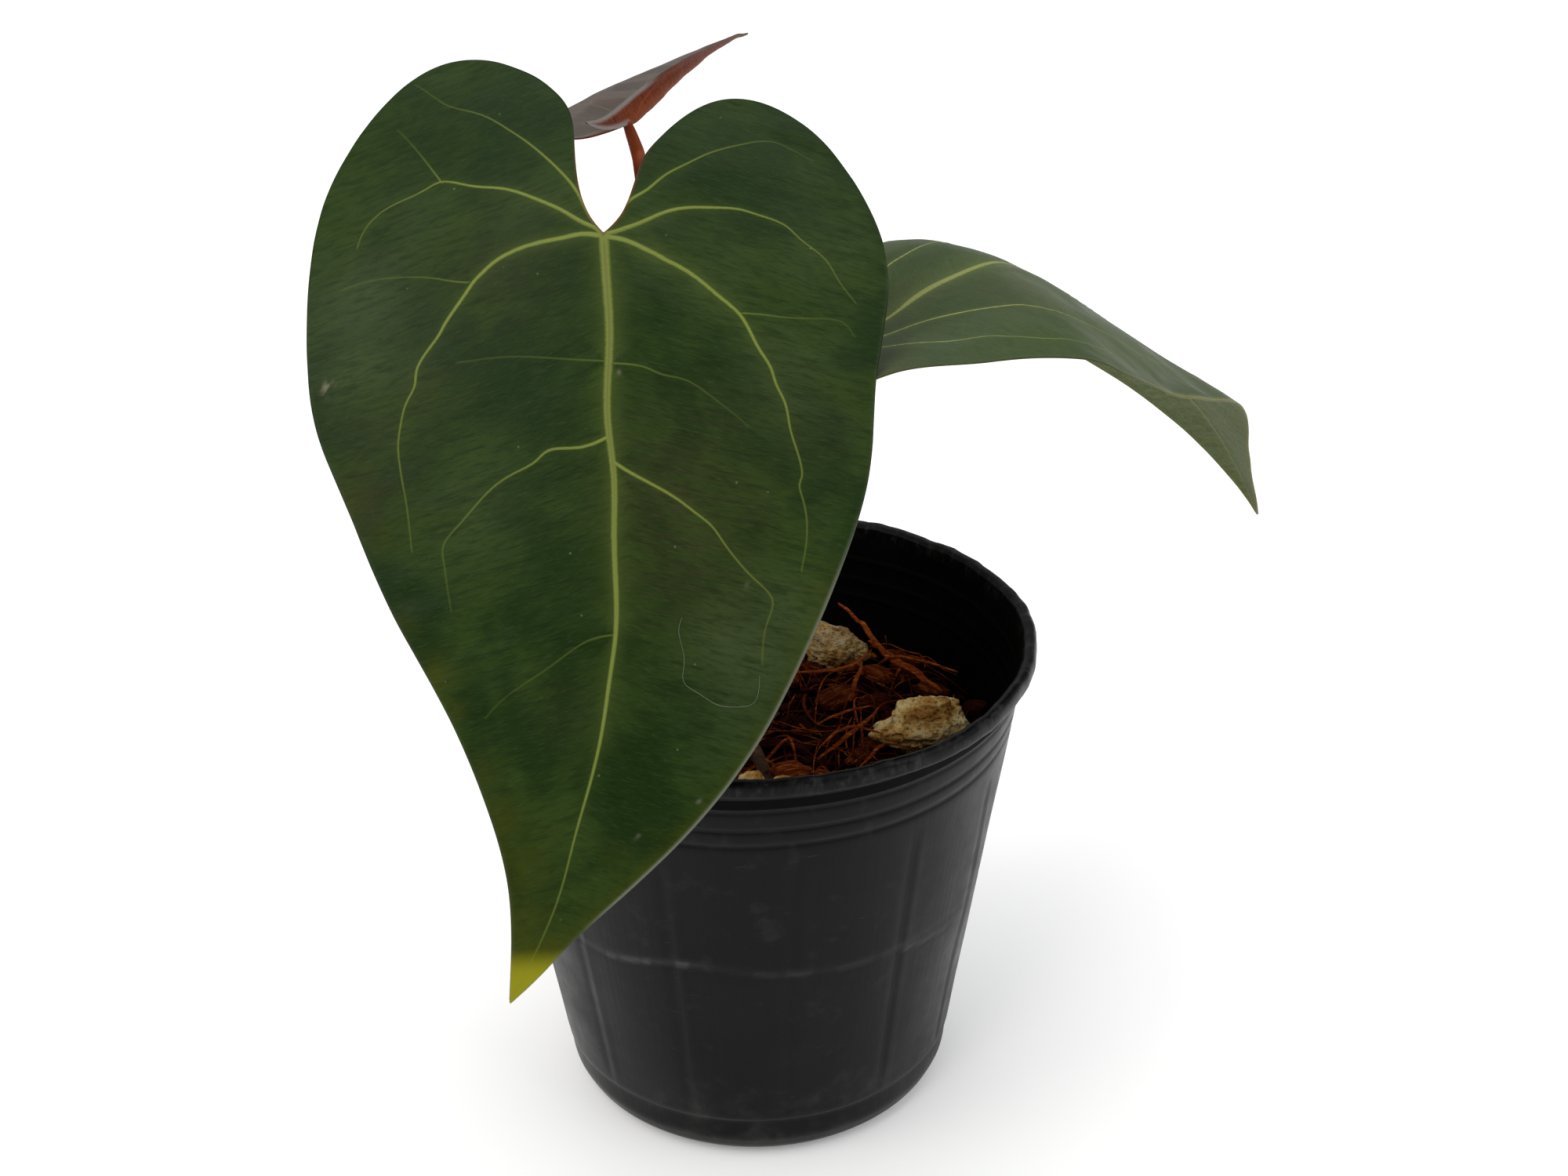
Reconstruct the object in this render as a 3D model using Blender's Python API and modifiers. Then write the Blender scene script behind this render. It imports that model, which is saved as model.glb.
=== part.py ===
"""Young potted anthurium: three heart-shaped leaves on slender stalks, rising from a
short crown in a tapered plastic nursery pot filled with coco husk and pumice.

Origin: centre of the pot's flat underside. +Z up, -Y towards the large front leaf.
The tables below are in millimetres and degrees; the meshes are in metres."""

import math

import bmesh
import bpy
import numpy as np

MM = 0.001

# ---- nursery pot -----------------------------------------------------------
POT_HEIGHT = 106.0
POT_SIDES = 48
BASE_RADIUS = 41.3          # where the wall line would meet the ground
WALL_SLOPE = 16.4 / 103.0   # outward lean of the wall
WALL = 0.9
FLOOR = 1.3
GROOVES = (88.5, 92.4, 97.1)
GROOVE_DEPTH = 0.4
STEP_HEIGHT = 11.3          # moulding step near the foot
DRAIN_COUNT = 6
DRAIN_RING = 24.0
DRAIN_RADIUS = 3.4

# ---- potting mix -----------------------------------------------------------
MIX_LEVEL = 79.0
MIX_GAP = 0.35
MIX_RINGS = 13

# ---- pumice stones: x, y, half-length, half-width, half-height, turn, seed --
STONES = (
    (36.5, 0.5, 9.8, 7.4, 6.6, 20, 1),
    (20.0, 34.5, 7.2, 6.0, 5.4, -35, 2),
    (-31.0, 22.0, 7.6, 6.0, 4.6, 50, 3),
    (-6.0, 42.5, 5.2, 4.4, 3.8, 10, 4),
    (-39.0, -12.0, 6.2, 5.0, 4.2, -60, 5),
    (-17.0, -38.0, 6.6, 5.2, 4.2, 25, 6),
    (14.5, -41.5, 4.6, 3.8, 3.2, 70, 7),
    (-14.0, -24.0, 4.2, 3.4, 3.0, 0, 8),
)

# ---- coco husk chips: x, y, length, width, thickness, turn, tilt ------------
CHIPS = (
    (38.0, -17.5, 11.0, 7.0, 2.4, 35, 10),
    (20.0, -27.0, 12.0, 6.5, 2.6, -20, -8),
    (0.5, -35.0, 9.0, 6.0, 2.2, 60, 7),
    (-32.0, -27.0, 10.5, 7.0, 2.6, 120, 9),
    (-24.0, 3.0, 12.0, 7.5, 2.8, 75, -9),
    (-20.0, 38.5, 10.0, 6.0, 2.2, 15, 8),
    (6.5, 26.0, 11.0, 6.0, 2.4, -50, 9),
    (19.0, 14.5, 10.0, 6.5, 2.4, 30, -9),
    (40.0, 17.5, 9.0, 5.5, 2.0, 130, 8),
    (-43.5, 7.0, 9.0, 5.0, 2.0, 95, 6),
)

# ---- coco fibres: three points along each, and its radius -------------------
FIBRES = (
    ((27.5, 21.0, 84.0), (33.5, 10.5, 93.0), (44.5, 4.5, 92.0), 0.55),
    ((14.0, -14.0, 82.6), (22.0, -8.5, 86.5), (27.5, 4.5, 84.0), 0.55),
    ((-14.0, 20.0, 83.0), (-18.0, 30.0, 87.5), (-31.5, 36.0, 83.5), 0.5),
    ((-25.0, -14.0, 83.0), (-31.0, -19.0, 88.5), (-41.0, -24.5, 84.5), 0.55),
    ((28.0, -36.5, 83.0), (19.0, -36.0, 87.0), (7.0, -46.0, 84.0), 0.5),
)

# ---- crown -----------------------------------------------------------------
CROWN_XY = (-7.0, 1.0)
CROWN_FOOT = 80.2
CROWN_PROFILE = ((0, 12.2), (5.6, 12.0), (6.9, 10.4), (6.8, 8.6), (8.0, 6.2), (7.4, 4.0), (8.2, 1.6), (6.2, 0), (0, 0))
SHEATHS = ((215, 27.0, 8.0, 9), (70, 22.0, 7.0, 16), (341, 17.0, 5.2, 24))   # bearing, height, half-width, lean
ROOTS = (
    ((-3.0, -8.4, 84.5), (-1.0, -14.0, 88.0), (3.0, -21.5, 82.2), 1.5),
    ((-15.9, 6.0, 84.5), (-21.0, 11.5, 87.5), (-25.0, 14.0, 83.0), 1.4),
)

# ---- leaves ----------------------------------------------------------------
# Distances v run along the midrib from where the stalk joins (negative in the
# two basal lobes); u is measured across it, positive to the right of someone
# looking along the midrib towards the tip.
FRONT_LEAF = dict(
    foot=(-24.1, -32.6, 204.7), heading=-87.0, length=137.0,
    pitch=((-45, -22), (-20, -34), (0, -42), (40, -55), (90, -66), (145, -74)),
    droop_right=((-50, 4), (0, 3), (150, 2)), droop_left=((-50, 4), (0, 3), (150, 2)),
    curl_right=((-50, 16), (0, 14), (60, 12), (110, 6), (150, 0)),
    curl_left=((-50, 16), (0, 14), (60, 12), (110, 6), (150, 0)),
    roll=((-50, 0), (150, 0)),
    midrib=((0, 0), (70, 0), (78, 2), (94, 6), (111, 11), (128, 18), (137, 23)),
    right=((0, 0), (1.9, -2.8), (4.0, -9.8), (4.6, -20.1), (5.6, -28.5), (12, -38.5), (22.5, -46), (33, -46), (46.5, -31.5), (54, -9.5),
           (55.5, 11), (54, 30.5), (47.5, 49), (40.5, 66.5), (32, 83.5), (25.5, 100.5), (22, 117), (23, 137)),
    left=((0, 0), (-1.9, -1.9), (-3.7, -4.6), (-5.6, -9.5), (-8, -16.3), (-11.2, -21), (-23, -31.5), (-37.5, -29.5), (-49.5, -12), (-52.5, 7),
          (-49, 24.5), (-46, 44.5), (-37, 67.5), (-20, 96.5), (-1.2, 115.5), (11.8, 126.4), (16.6, 131.2), (23, 137)),
)
RIGHT_LEAF = dict(
    foot=(17.1, -1.8, 168.1), heading=22.0, length=138.0,
    pitch=((-40, 21), (0, 26.5), (15, 25), (30, 10.5), (42, -13.5), (55, -34.5), (70, -38.5), (90, -44), (110, -54), (137, -67)),
    droop_right=((-40, 2), (-15, -22), (0, -24.5), (15, -16.5), (30, -8.5), (45, -1), (60, 0.5), (75, -2.5), (90, -8), (110, 0.5), (137, 8.5)),
    droop_left=((-40, 4), (0, -2), (30, -6), (60, 2), (85, 14), (110, 17.5), (137, 18.5)),
    curl_right=((-40, 8.7), (60, 13), (137, 10.5)), curl_left=((-40, 27), (40, 27), (90, 15), (137, 15)),
    roll=((-40, 0), (140, 0)), midrib=((0, 0), (138, 0)),
    right=((0, 0), (4.5, -9), (7.5, -18), (12.3, -24.8), (19.8, -26.6), (26.5, -23.5), (33, -17.5), (40, -5), (46.5, 9),
           (49.2, 30), (46.7, 47.5), (39.5, 67.5), (29, 86), (18, 104), (8.5, 120), (2, 133.5), (0, 138)),
    left=((0, 0), (-3.5, -9), (-6, -18), (-11, -26), (-18.5, -30), (-28, -28.5), (-39, -20), (-46, -5),
          (-48, 12), (-45.5, 30.5), (-41, 48.5), (-33.5, 67.5), (-24.5, 86), (-15.5, 104), (-7.5, 120), (-2, 133.5), (0, 138)),
)
YOUNG_LEAF = dict(
    foot=(-21.7, 25.0, 207.8), heading=74.9, length=95.2,
    pitch=((-25, -21), (0, -1.2), (25, -0.4), (55, -4), (90, -7)),
    droop_right=((-25, -100), (0, -98), (55, -50), (90, -33)), droop_left=((-25, -14), (0, -14), (55, -6), (90, -6)),
    curl_right=((-25, 0), (90, 0)), curl_left=((-25, 4), (90, 4)),
    roll=((-25, 18), (90, 17.5)), midrib=((0, 0), (95, 0)),
    right=((0, 0), (0.5, -6), (1.2, -12), (2.2, -19), (3.1, -22.5), (3.6, -15), (3.8, -4), (3.8, 8.5), (3.6, 20), (3.2, 33),
           (2.7, 46.5), (2.1, 59), (1.6, 72), (1, 83.5), (0.4, 91), (0, 95.2)),
    left=((0, 0), (-1.8, -6), (-3.6, -13), (-6.2, -20), (-9.8, -24), (-13.8, -22.5), (-17.4, -15), (-18.7, -4), (-18.7, 8.5), (-17.4, 20),
          (-14.7, 33), (-11.6, 46.5), (-8.5, 59), (-5.4, 72), (-2.7, 83.5), (-0.9, 91), (0, 95.2)),
)
BLADE_COLUMNS = (0.0, 0.05, 0.16, 0.38, 0.68, 1.0)
BLADE_STATIONS = 30
BLADE_THICK = 0.85          # thickness beside the midrib
MARGIN_THICK = 0.5          # thickness at the margin
RIB = 0.9                   # how far the midrib stands out below, at its foot

# ---- stalks: points from crown to blade, and the radius at each end ---------
STALKS = {
    "petiole_front": (((-10.0, -2.6, 92.9), (-14.5, -8.5, 120.0), (-18.5, -15.5, 155.0), (-21.5, -22.5, 186.0)), 2.1, 1.45, FRONT_LEAF),
    "petiole_right": (((-3.6, -1.0, 92.9), (0.0, -1.4, 112.0), (6.5, -2.2, 138.0), (12.5, -3.0, 156.0)), 2.0, 1.4, RIGHT_LEAF),
    "petiole_young": (((-8.6, 4.6, 92.9), (-12.0, 9.5, 120.0), (-18.0, 15.0, 150.0), (-18.6, 18.5, 186.0), (-19.6, 21.2, 200.5)), 1.7, 1.1, YOUNG_LEAF),
}

# ---- colours ---------------------------------------------------------------
COLOURS = {
    "pot_plastic": ((0.018, 0.018, 0.020), 0.5),
    "mix": ((0.060, 0.028, 0.014), 0.95),
    "husk": ((0.120, 0.052, 0.024), 0.9),
    "fibre": ((0.230, 0.110, 0.045), 0.85),
    "pumice": ((0.480, 0.390, 0.280), 0.95),
    "leaf_green": ((0.040, 0.095, 0.028), 0.5),
    "leaf_young": ((0.140, 0.085, 0.070), 0.5),
    "stalk_green": ((0.110, 0.120, 0.040), 0.5),
    "stalk_red": ((0.240, 0.070, 0.025), 0.5),
    "crown": ((0.150, 0.095, 0.040), 0.8),
    "sheath": ((0.330, 0.200, 0.100), 0.9),
}


def material(name):
    found = bpy.data.materials.get(name)
    if found:
        return found
    colour, rough = COLOURS[name]
    made = bpy.data.materials.new(name)
    made.use_nodes = True
    shader = made.node_tree.nodes["Principled BSDF"]
    shader.inputs["Base Color"].default_value = (*colour, 1)
    shader.inputs["Roughness"].default_value = rough
    made.diffuse_color = (*colour, 1)
    return made


def add(name, mesh, slot, collection):
    mesh.materials.append(material(slot))
    made = bpy.data.objects.new(name, mesh)
    collection.objects.link(made)
    return made


def finish(shape, name):
    """The bmesh as a smooth-shaded mesh, its faces turned outwards."""
    bmesh.ops.recalc_face_normals(shape, faces=shape.faces)
    mesh = bpy.data.meshes.new(name)
    shape.to_mesh(mesh)
    shape.free()
    mesh.shade_smooth()
    mesh.set_sharp_from_angle(angle=math.radians(40))
    return mesh


def turned(name, profile, sides, slot, collection, centre=(0, 0, 0)):
    """A Screw about Z. The profile runs down its outer side and ends on the axis."""
    mesh = bpy.data.meshes.new(name)
    mesh.from_pydata([(r * MM, 0, z * MM) for r, z in profile], [(i, i + 1) for i in range(len(profile) - 1)], [])
    made = add(name, mesh, slot, collection)
    made.location = [c * MM for c in centre]
    screw = made.modifiers.new("turn", "SCREW")
    screw.axis = "Z"
    screw.steps = screw.render_steps = sides
    screw.use_merge_vertices = True
    screw.merge_threshold = 0.00002
    screw.use_smooth_shade = True
    return made


def rod(name, path, radii, slot, collection, count=12, resolution=2):
    """A curve object with a round bevel along a smooth path, tapering as the radii say."""
    line = spline(path, count)
    thick = np.interp(np.linspace(0, 1, count), np.linspace(0, 1, len(radii)), radii)
    curve = bpy.data.curves.new(name, "CURVE")
    curve.dimensions = "3D"
    curve.bevel_depth = MM
    curve.bevel_resolution = resolution
    curve.use_fill_caps = True
    poly = curve.splines.new("POLY")
    poly.points.add(count - 1)
    for point, place, radius in zip(poly.points, line, thick):
        point.co = (*(place * MM), 1)
        point.radius = radius
    poly.use_smooth = True
    return add(name, curve, slot, collection)


def smooth_table(table, at):
    """Smooth curve through a table of (place, value) pairs."""
    xs = np.array([row[0] for row in table], float)
    ys = np.array([row[1] for row in table], float)
    steps = np.diff(xs)
    slopes = np.diff(ys) / steps
    ends = np.empty_like(ys)
    ends[0], ends[-1] = slopes[0], slopes[-1]
    if len(xs) > 2:
        ends[1:-1] = (slopes[:-1] * steps[1:] + slopes[1:] * steps[:-1]) / (xs[2:] - xs[:-2])
    at = np.asarray(at, float)
    i = np.clip(np.searchsorted(xs, at) - 1, 0, len(xs) - 2)
    h = xs[i + 1] - xs[i]
    t = (np.clip(at, xs[0], xs[-1]) - xs[i]) / h
    return ((2 * t**3 - 3 * t**2 + 1) * ys[i] + (t**3 - 2 * t**2 + t) * h * ends[i]
            + (3 * t**2 - 2 * t**3) * ys[i + 1] + (t**3 - t**2) * h * ends[i + 1])


def spline(points, count):
    """Natural cubic spline through the points, sampled evenly in root chord length."""
    points = np.asarray(points, float)
    place = np.concatenate([[0], np.cumsum(np.sqrt(np.linalg.norm(np.diff(points, axis=0), axis=1)))])
    place /= place[-1]
    n, h = len(points), np.diff(place)
    system, right = np.zeros((n, n)), np.zeros((n, points.shape[1]))
    system[0, 0] = system[-1, -1] = 1
    for k in range(1, n - 1):
        system[k, k - 1:k + 2] = h[k - 1], 2 * (h[k - 1] + h[k]), h[k]
        right[k] = 6 * ((points[k + 1] - points[k]) / h[k] - (points[k] - points[k - 1]) / h[k - 1])
    bend = np.linalg.solve(system, right)
    at = np.linspace(0, 1, count)
    k = np.clip(np.searchsorted(place, at) - 1, 0, n - 2)
    t, hk = (at - place[k])[:, None], h[k][:, None]
    slope = (points[k + 1] - points[k]) / hk - hk * (2 * bend[k] + bend[k + 1]) / 6
    return points[k] + slope * t + bend[k] * t**2 / 2 + (bend[k + 1] - bend[k]) * t**3 / (6 * hk)


class Blade:
    """The bent surface of one leaf: at(u, v) gives points, frame(v) the directions."""

    def __init__(self, leaf):
        self.leaf = leaf
        step = 0.5
        self.v = np.arange(-55, 155 + step, step)
        along = self.directions(self.v[:-1] + step / 2)[0] * step
        line = np.concatenate([[[0, 0, 0]], np.cumsum(along, axis=0)])
        start = int(round(55 / step))
        self.line = line - line[start] + np.array(leaf["foot"])

    def directions(self, v):
        pitch = np.radians(smooth_table(self.leaf["pitch"], v))
        roll = np.radians(smooth_table(self.leaf["roll"], v))
        heading = np.radians(self.leaf["heading"]) + 0 * pitch
        along = np.stack([np.cos(pitch) * np.cos(heading), np.cos(pitch) * np.sin(heading), np.sin(pitch)], -1)
        flat = np.stack([np.sin(heading), -np.cos(heading), 0 * heading], -1)
        up = np.cross(flat, along)
        across = flat * np.cos(roll)[..., None] + up * np.sin(roll)[..., None]
        return along, across, up * np.cos(roll)[..., None] - flat * np.sin(roll)[..., None]

    def at(self, u, v):
        u, v = np.asarray(u, float), np.asarray(v, float)
        centre = np.stack([np.interp(v, self.v, self.line[:, k]) for k in range(3)], -1)
        _, across, up = self.directions(v)
        leaf = self.leaf
        droop = np.radians(np.where(u >= 0, smooth_table(leaf["droop_right"], v), smooth_table(leaf["droop_left"], v)))
        curl = np.radians(np.where(u >= 0, smooth_table(leaf["curl_right"], v), smooth_table(leaf["curl_left"], v))) / 40.0
        width = np.abs(u)
        straight = np.abs(curl) < 1e-6
        safe = np.where(straight, 1, curl)
        out = np.where(straight, width * np.cos(droop), (np.sin(droop + curl * width) - np.sin(droop)) / safe)
        rise = np.where(straight, -width * np.sin(droop), (np.cos(droop + curl * width) - np.cos(droop)) / safe)
        return centre + across * (np.sign(u) * out)[..., None] + up * rise[..., None]


def blade_rows(leaf, stations, columns):
    """(u, v) over the whole blade: one row for each station along the margins, running
    from the right margin over the midrib to the left margin. Rows that belong to the
    basal lobes meet at the foot."""
    columns = np.asarray(columns, float)
    right, left = (spline(leaf[side], stations) for side in ("right", "left"))
    reach = (right[:, 1] + left[:, 1]) / 2
    foot = reach - 8 * (1 - reach / leaf["length"])
    foot = np.where(foot < 1.0, 0.0, foot)
    foot[-1] = leaf["length"]
    middle = np.stack([smooth_table(leaf["midrib"], foot), foot], 1)
    share = np.concatenate([-columns[::-1], columns[1:]])
    part = np.abs(share)[None, :, None]
    edge = np.where((share < 0)[None, :, None], right[:, None], left[:, None])
    rows = middle[:, None] * (1 - part) + edge * part
    # rows of the basal lobes bow away from the sinus, so that they stay on the blade
    for side, mask in ((right, share < 0), (left, share > 0)):
        lobe = np.where((side[:, 1] < -0.05) & (reach < 0))[0]
        ratio = np.abs(side[lobe, 0]) / -side[lobe, 1]
        ratio[side[lobe, 1] > -1.5] = 0.0 if side[lobe, 1].min() > -1.5 else ratio[side[lobe, 1] <= -1.5][0]
        turn = int(ratio.argmin())
        first = min(ratio[:turn + 1].max(), 1.2)
        wanted = first * (1 + 0.2 * np.minimum(np.arange(len(lobe)) / max(turn, 1), 3.0))
        bow = np.maximum(-wanted * side[lobe, 1] - np.abs(side[lobe, 0]), 0) * np.sign(side[lobe, 0])
        away = np.zeros(len(side))
        away[lobe] = bow
        rows[:, mask, 0] += away[:, None] * (np.abs(share) * (1 - np.abs(share)))[None, mask]
    return rows, share


def build_blade(name, leaf, slot, collection):
    """An open grid laid over the bent surface, thickened below by Solidify: most at the
    midrib, least at the margin."""
    surface = Blade(leaf)
    rows, share = blade_rows(leaf, BLADE_STATIONS, BLADE_COLUMNS)
    places = surface.at(rows[..., 0], rows[..., 1])
    high, wide = rows.shape[:2]
    shape = bmesh.new()
    bmesh.ops.create_grid(shape, x_segments=wide - 1, y_segments=high - 1, size=0.5)
    weight = shape.verts.layers.float.new("thickness")
    for vertex in shape.verts:
        j, i = round((vertex.co.x + 0.5) * (wide - 1)), round((vertex.co.y + 0.5) * (high - 1))
        near = 1 - abs(share[j])
        along = 1 - max(0.0, rows[i, j, 1]) / leaf["length"]
        vertex.co = places[i, j] * MM
        vertex[weight] = (MARGIN_THICK + (BLADE_THICK - MARGIN_THICK) * near + (RIB * along if share[j] == 0 else 0)) / (BLADE_THICK + RIB)
    bmesh.ops.remove_doubles(shape, verts=shape.verts, dist=2e-6)
    bmesh.ops.triangulate(shape, faces=[f for f in shape.faces if len(f.verts) > 3])
    bmesh.ops.recalc_face_normals(shape, faces=shape.faces)
    _, _, up = surface.directions(np.array([20.0]))
    if sum(f.normal.dot(up[0]) * f.calc_area() for f in shape.faces) < 0:
        bmesh.ops.reverse_faces(shape, faces=shape.faces)
    weights = [vertex[weight] for vertex in shape.verts]
    mesh = bpy.data.meshes.new(name)
    shape.to_mesh(mesh)
    shape.free()
    mesh.shade_smooth()
    made = add(name, mesh, slot, collection)
    group = made.vertex_groups.new(name="thickness")
    for number, value in enumerate(weights):
        group.add([number], value, "REPLACE")
    shell = made.modifiers.new("thickness", "SOLIDIFY")
    shell.thickness = (BLADE_THICK + RIB) * MM
    shell.offset = -1
    shell.vertex_group = "thickness"
    return made


def wall_radius(z):
    return BASE_RADIUS + WALL_SLOPE * z


def build_pot(collection, cutters):
    inner = [(0, FLOOR), (35.0, FLOOR), (37.6, 1.7), (40.0, 3.3), (wall_radius(6.0) - WALL, 6.0), (wall_radius(78.0) - WALL, 78.0)]
    lip = [(wall_radius(102.5) - WALL, 102.5), (57.2, 105.2), (58.2, POT_HEIGHT), (59.3, POT_HEIGHT),
           (60.0, 105.0), (60.0, 103.0), (59.5, 102.2), (wall_radius(101.6), 101.6)]
    outer = []
    for z in reversed(GROOVES):
        outer += [(wall_radius(z + 0.8), z + 0.8), (wall_radius(z) - GROOVE_DEPTH, z), (wall_radius(z - 0.8), z - 0.8)]
    outer += [(wall_radius(STEP_HEIGHT), STEP_HEIGHT + 0.3), (wall_radius(STEP_HEIGHT) - 0.35, STEP_HEIGHT - 0.3),
              (wall_radius(5.6), 5.6), (41.0, 2.8), (39.0, 0.8), (35.8, 0), (0, 0)]
    pot = turned("nursery_pot", inner + lip + outer, POT_SIDES, "pot_plastic", collection)
    for k in range(DRAIN_COUNT):
        turn = 2 * math.pi * (k + 0.5) / DRAIN_COUNT
        shape = bmesh.new()
        bmesh.ops.create_cone(shape, cap_ends=True, segments=12, radius1=DRAIN_RADIUS * MM, radius2=DRAIN_RADIUS * MM, depth=8 * MM)
        cutter = add(f"drain_cutter_{k + 1}", finish(shape, "drain_cutter"), "pot_plastic", cutters)
        cutter.location = (DRAIN_RING * math.cos(turn) * MM, DRAIN_RING * math.sin(turn) * MM, 0)
        cutter.hide_render = True
        cutter.display_type = "WIRE"
        cut = pot.modifiers.new(f"drain_{k + 1}", "BOOLEAN")
        cut.operation = "DIFFERENCE"
        cut.solver = "EXACT"
        cut.object = cutter
    return pot


def mix_height(x, y):
    """Height of the mix, with a dip wherever something lies on it."""
    height = (MIX_LEVEL + 0.8 * math.sin(0.21 * x + 0.6) * math.cos(0.24 * y)
              + 0.5 * math.sin(0.47 * x - 0.35 * y) + 0.4 * math.cos(0.31 * x + 0.55 * y + 1))
    for sx, sy, a, b, c, _, _ in STONES:
        reach, gone = max(a, b) + 3.2, math.hypot(x - sx, y - sy)
        if gone < reach:
            height = min(height, stone_centre(c) - 1.15 * c * math.sqrt(1 - (gone / reach) ** 2) - 0.8)
    for cx, cy, length, width, thick, _, tilt in CHIPS:
        reach = 0.5 * math.hypot(length, width) + 3.4
        if math.hypot(x - cx, y - cy) < reach:
            drop = 0.5 * length * math.sin(math.radians(abs(tilt))) + thick / 2
            height = min(height, chip_centre(length, thick, tilt) - drop - 0.6)
    if math.hypot(x - CROWN_XY[0], y - CROWN_XY[1]) < 12.0:
        height = min(height, CROWN_FOOT - 0.5)
    return height


def stone_centre(c):
    return MIX_LEVEL + 0.45 * c


def chip_centre(length, thick, tilt):
    return MIX_LEVEL + 0.2 + 0.5 * length * math.sin(math.radians(abs(tilt))) + thick / 2


def build_mix(collection):
    """A turned plug that fills the pot, its top then raised and lowered."""
    rim = wall_radius(77.2) - WALL - MIX_GAP
    top = [(rim * (k / (MIX_RINGS + 1)) ** 0.9, MIX_LEVEL) for k in range(MIX_RINGS + 1)]
    side = [(rim, 77.2), (wall_radius(6.0) - WALL - MIX_GAP, 6.2), (39.5, 3.7), (37.3, 2.2), (34.8, FLOOR + 0.4), (0, FLOOR + 0.4)]
    plug = turned("mix_plug", top + side, POT_SIDES, "mix", collection)
    bpy.context.view_layer.update()
    mesh = bpy.data.meshes.new_from_object(plug.evaluated_get(bpy.context.evaluated_depsgraph_get()))
    bpy.data.objects.remove(plug)
    mesh.name = "potting_mix"
    for vertex in mesh.vertices:
        if vertex.co.z > 78.5 * MM:
            vertex.co.z = mix_height(vertex.co.x / MM, vertex.co.y / MM) * MM
    made = bpy.data.objects.new("potting_mix", mesh)
    collection.objects.link(made)
    return made


def build_stone(name, row, collection):
    """A pumice pebble: a ball pressed in on nine sides and stretched."""
    x, y, a, b, c, turn, seed = row
    shape = bmesh.new()
    bmesh.ops.create_icosphere(shape, subdivisions=3 if a > 7 else 2, radius=1)
    rng = np.random.default_rng(seed)
    sides = rng.normal(size=(9, 3))
    sides /= np.linalg.norm(sides, axis=1)[:, None]
    depths = rng.uniform(0.74, 0.9, 9)
    for vertex in shape.verts:
        place = np.array(vertex.co)
        for direction, depth in zip(sides, depths):
            place = place - max(place @ direction - depth, 0) * direction * 0.92
        vertex.co = place * (a, b, c) * MM
    made = add(name, finish(shape, name), "pumice", collection)
    made.location = (x * MM, y * MM, stone_centre(c) * MM)
    made.rotation_euler = (0, 0, math.radians(turn))
    return made


def build_chip(name, row, collection):
    """A flake of husk: a thin block narrowed at its ends, arched and rounded."""
    x, y, length, width, thick, turn, tilt = row
    shape = bmesh.new()
    bmesh.ops.create_cube(shape, size=1)
    long_edges = [e for e in shape.edges if abs(e.verts[0].co.x - e.verts[1].co.x) > 0.5]
    bmesh.ops.subdivide_edges(shape, edges=long_edges, cuts=2, use_grid_fill=True)
    for vertex in shape.verts:
        along, side, level = vertex.co
        narrow = 1.0 if abs(along) < 0.3 else 0.66
        arch = 0.5 * (1 - (2 * along) ** 2)
        vertex.co = (along * length * MM, side * width * narrow * MM, (level * thick + arch) * MM)
    made = add(name, finish(shape, name), "husk", collection)
    soft = made.modifiers.new("rounding", "BEVEL")
    soft.width = 0.35 * MM
    soft.segments = 1
    made.location = (x * MM, y * MM, chip_centre(length, thick, tilt) * MM)
    made.rotation_euler = (0, math.radians(tilt), math.radians(turn))
    return made


def build_sheath(name, row, collection):
    """A dry papery bract that wraps part of the crown and ends in a point."""
    bearing, height, half_width, lean = row
    foot = CROWN_FOOT + 1.0
    shape = bmesh.new()
    bmesh.ops.create_grid(shape, x_segments=6, y_segments=7, size=1)
    for vertex in shape.verts:
        s = (vertex.co.y + 1) / 2
        spread = vertex.co.x * (half_width * (1 - s) ** 0.6 + 0.35)
        radius = 9.3 + height * s * math.sin(math.radians(lean)) * s
        turn = math.radians(bearing) + spread / 9.6
        vertex.co = ((CROWN_XY[0] + radius * math.cos(turn)) * MM, (CROWN_XY[1] + radius * math.sin(turn)) * MM,
                     (foot + height * s * math.cos(math.radians(lean) * s)) * MM)
    made = add(name, finish(shape, name), "sheath", collection)
    shell = made.modifiers.new("thickness", "SOLIDIFY")
    shell.thickness = 0.6 * MM
    shell.offset = 0
    return made


def build_stalk(name, row, collection):
    """A leaf stalk that meets its blade from below, thickened where it joins."""
    path, low, high, leaf = row
    _, _, up = Blade(leaf).directions(np.array([0.0]))
    end = np.array(leaf["foot"]) - up[0] * (BLADE_THICK + RIB + 0.6)
    path = list(path) + [tuple(end - up[0] * 4.0), tuple(end)]
    radii = [low, (low + high) / 2, high, high, high, high * 1.25, high * 1.05]
    return rod(name, path, radii, "stalk_red" if name == "petiole_young" else "stalk_green", collection, 18)


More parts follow.
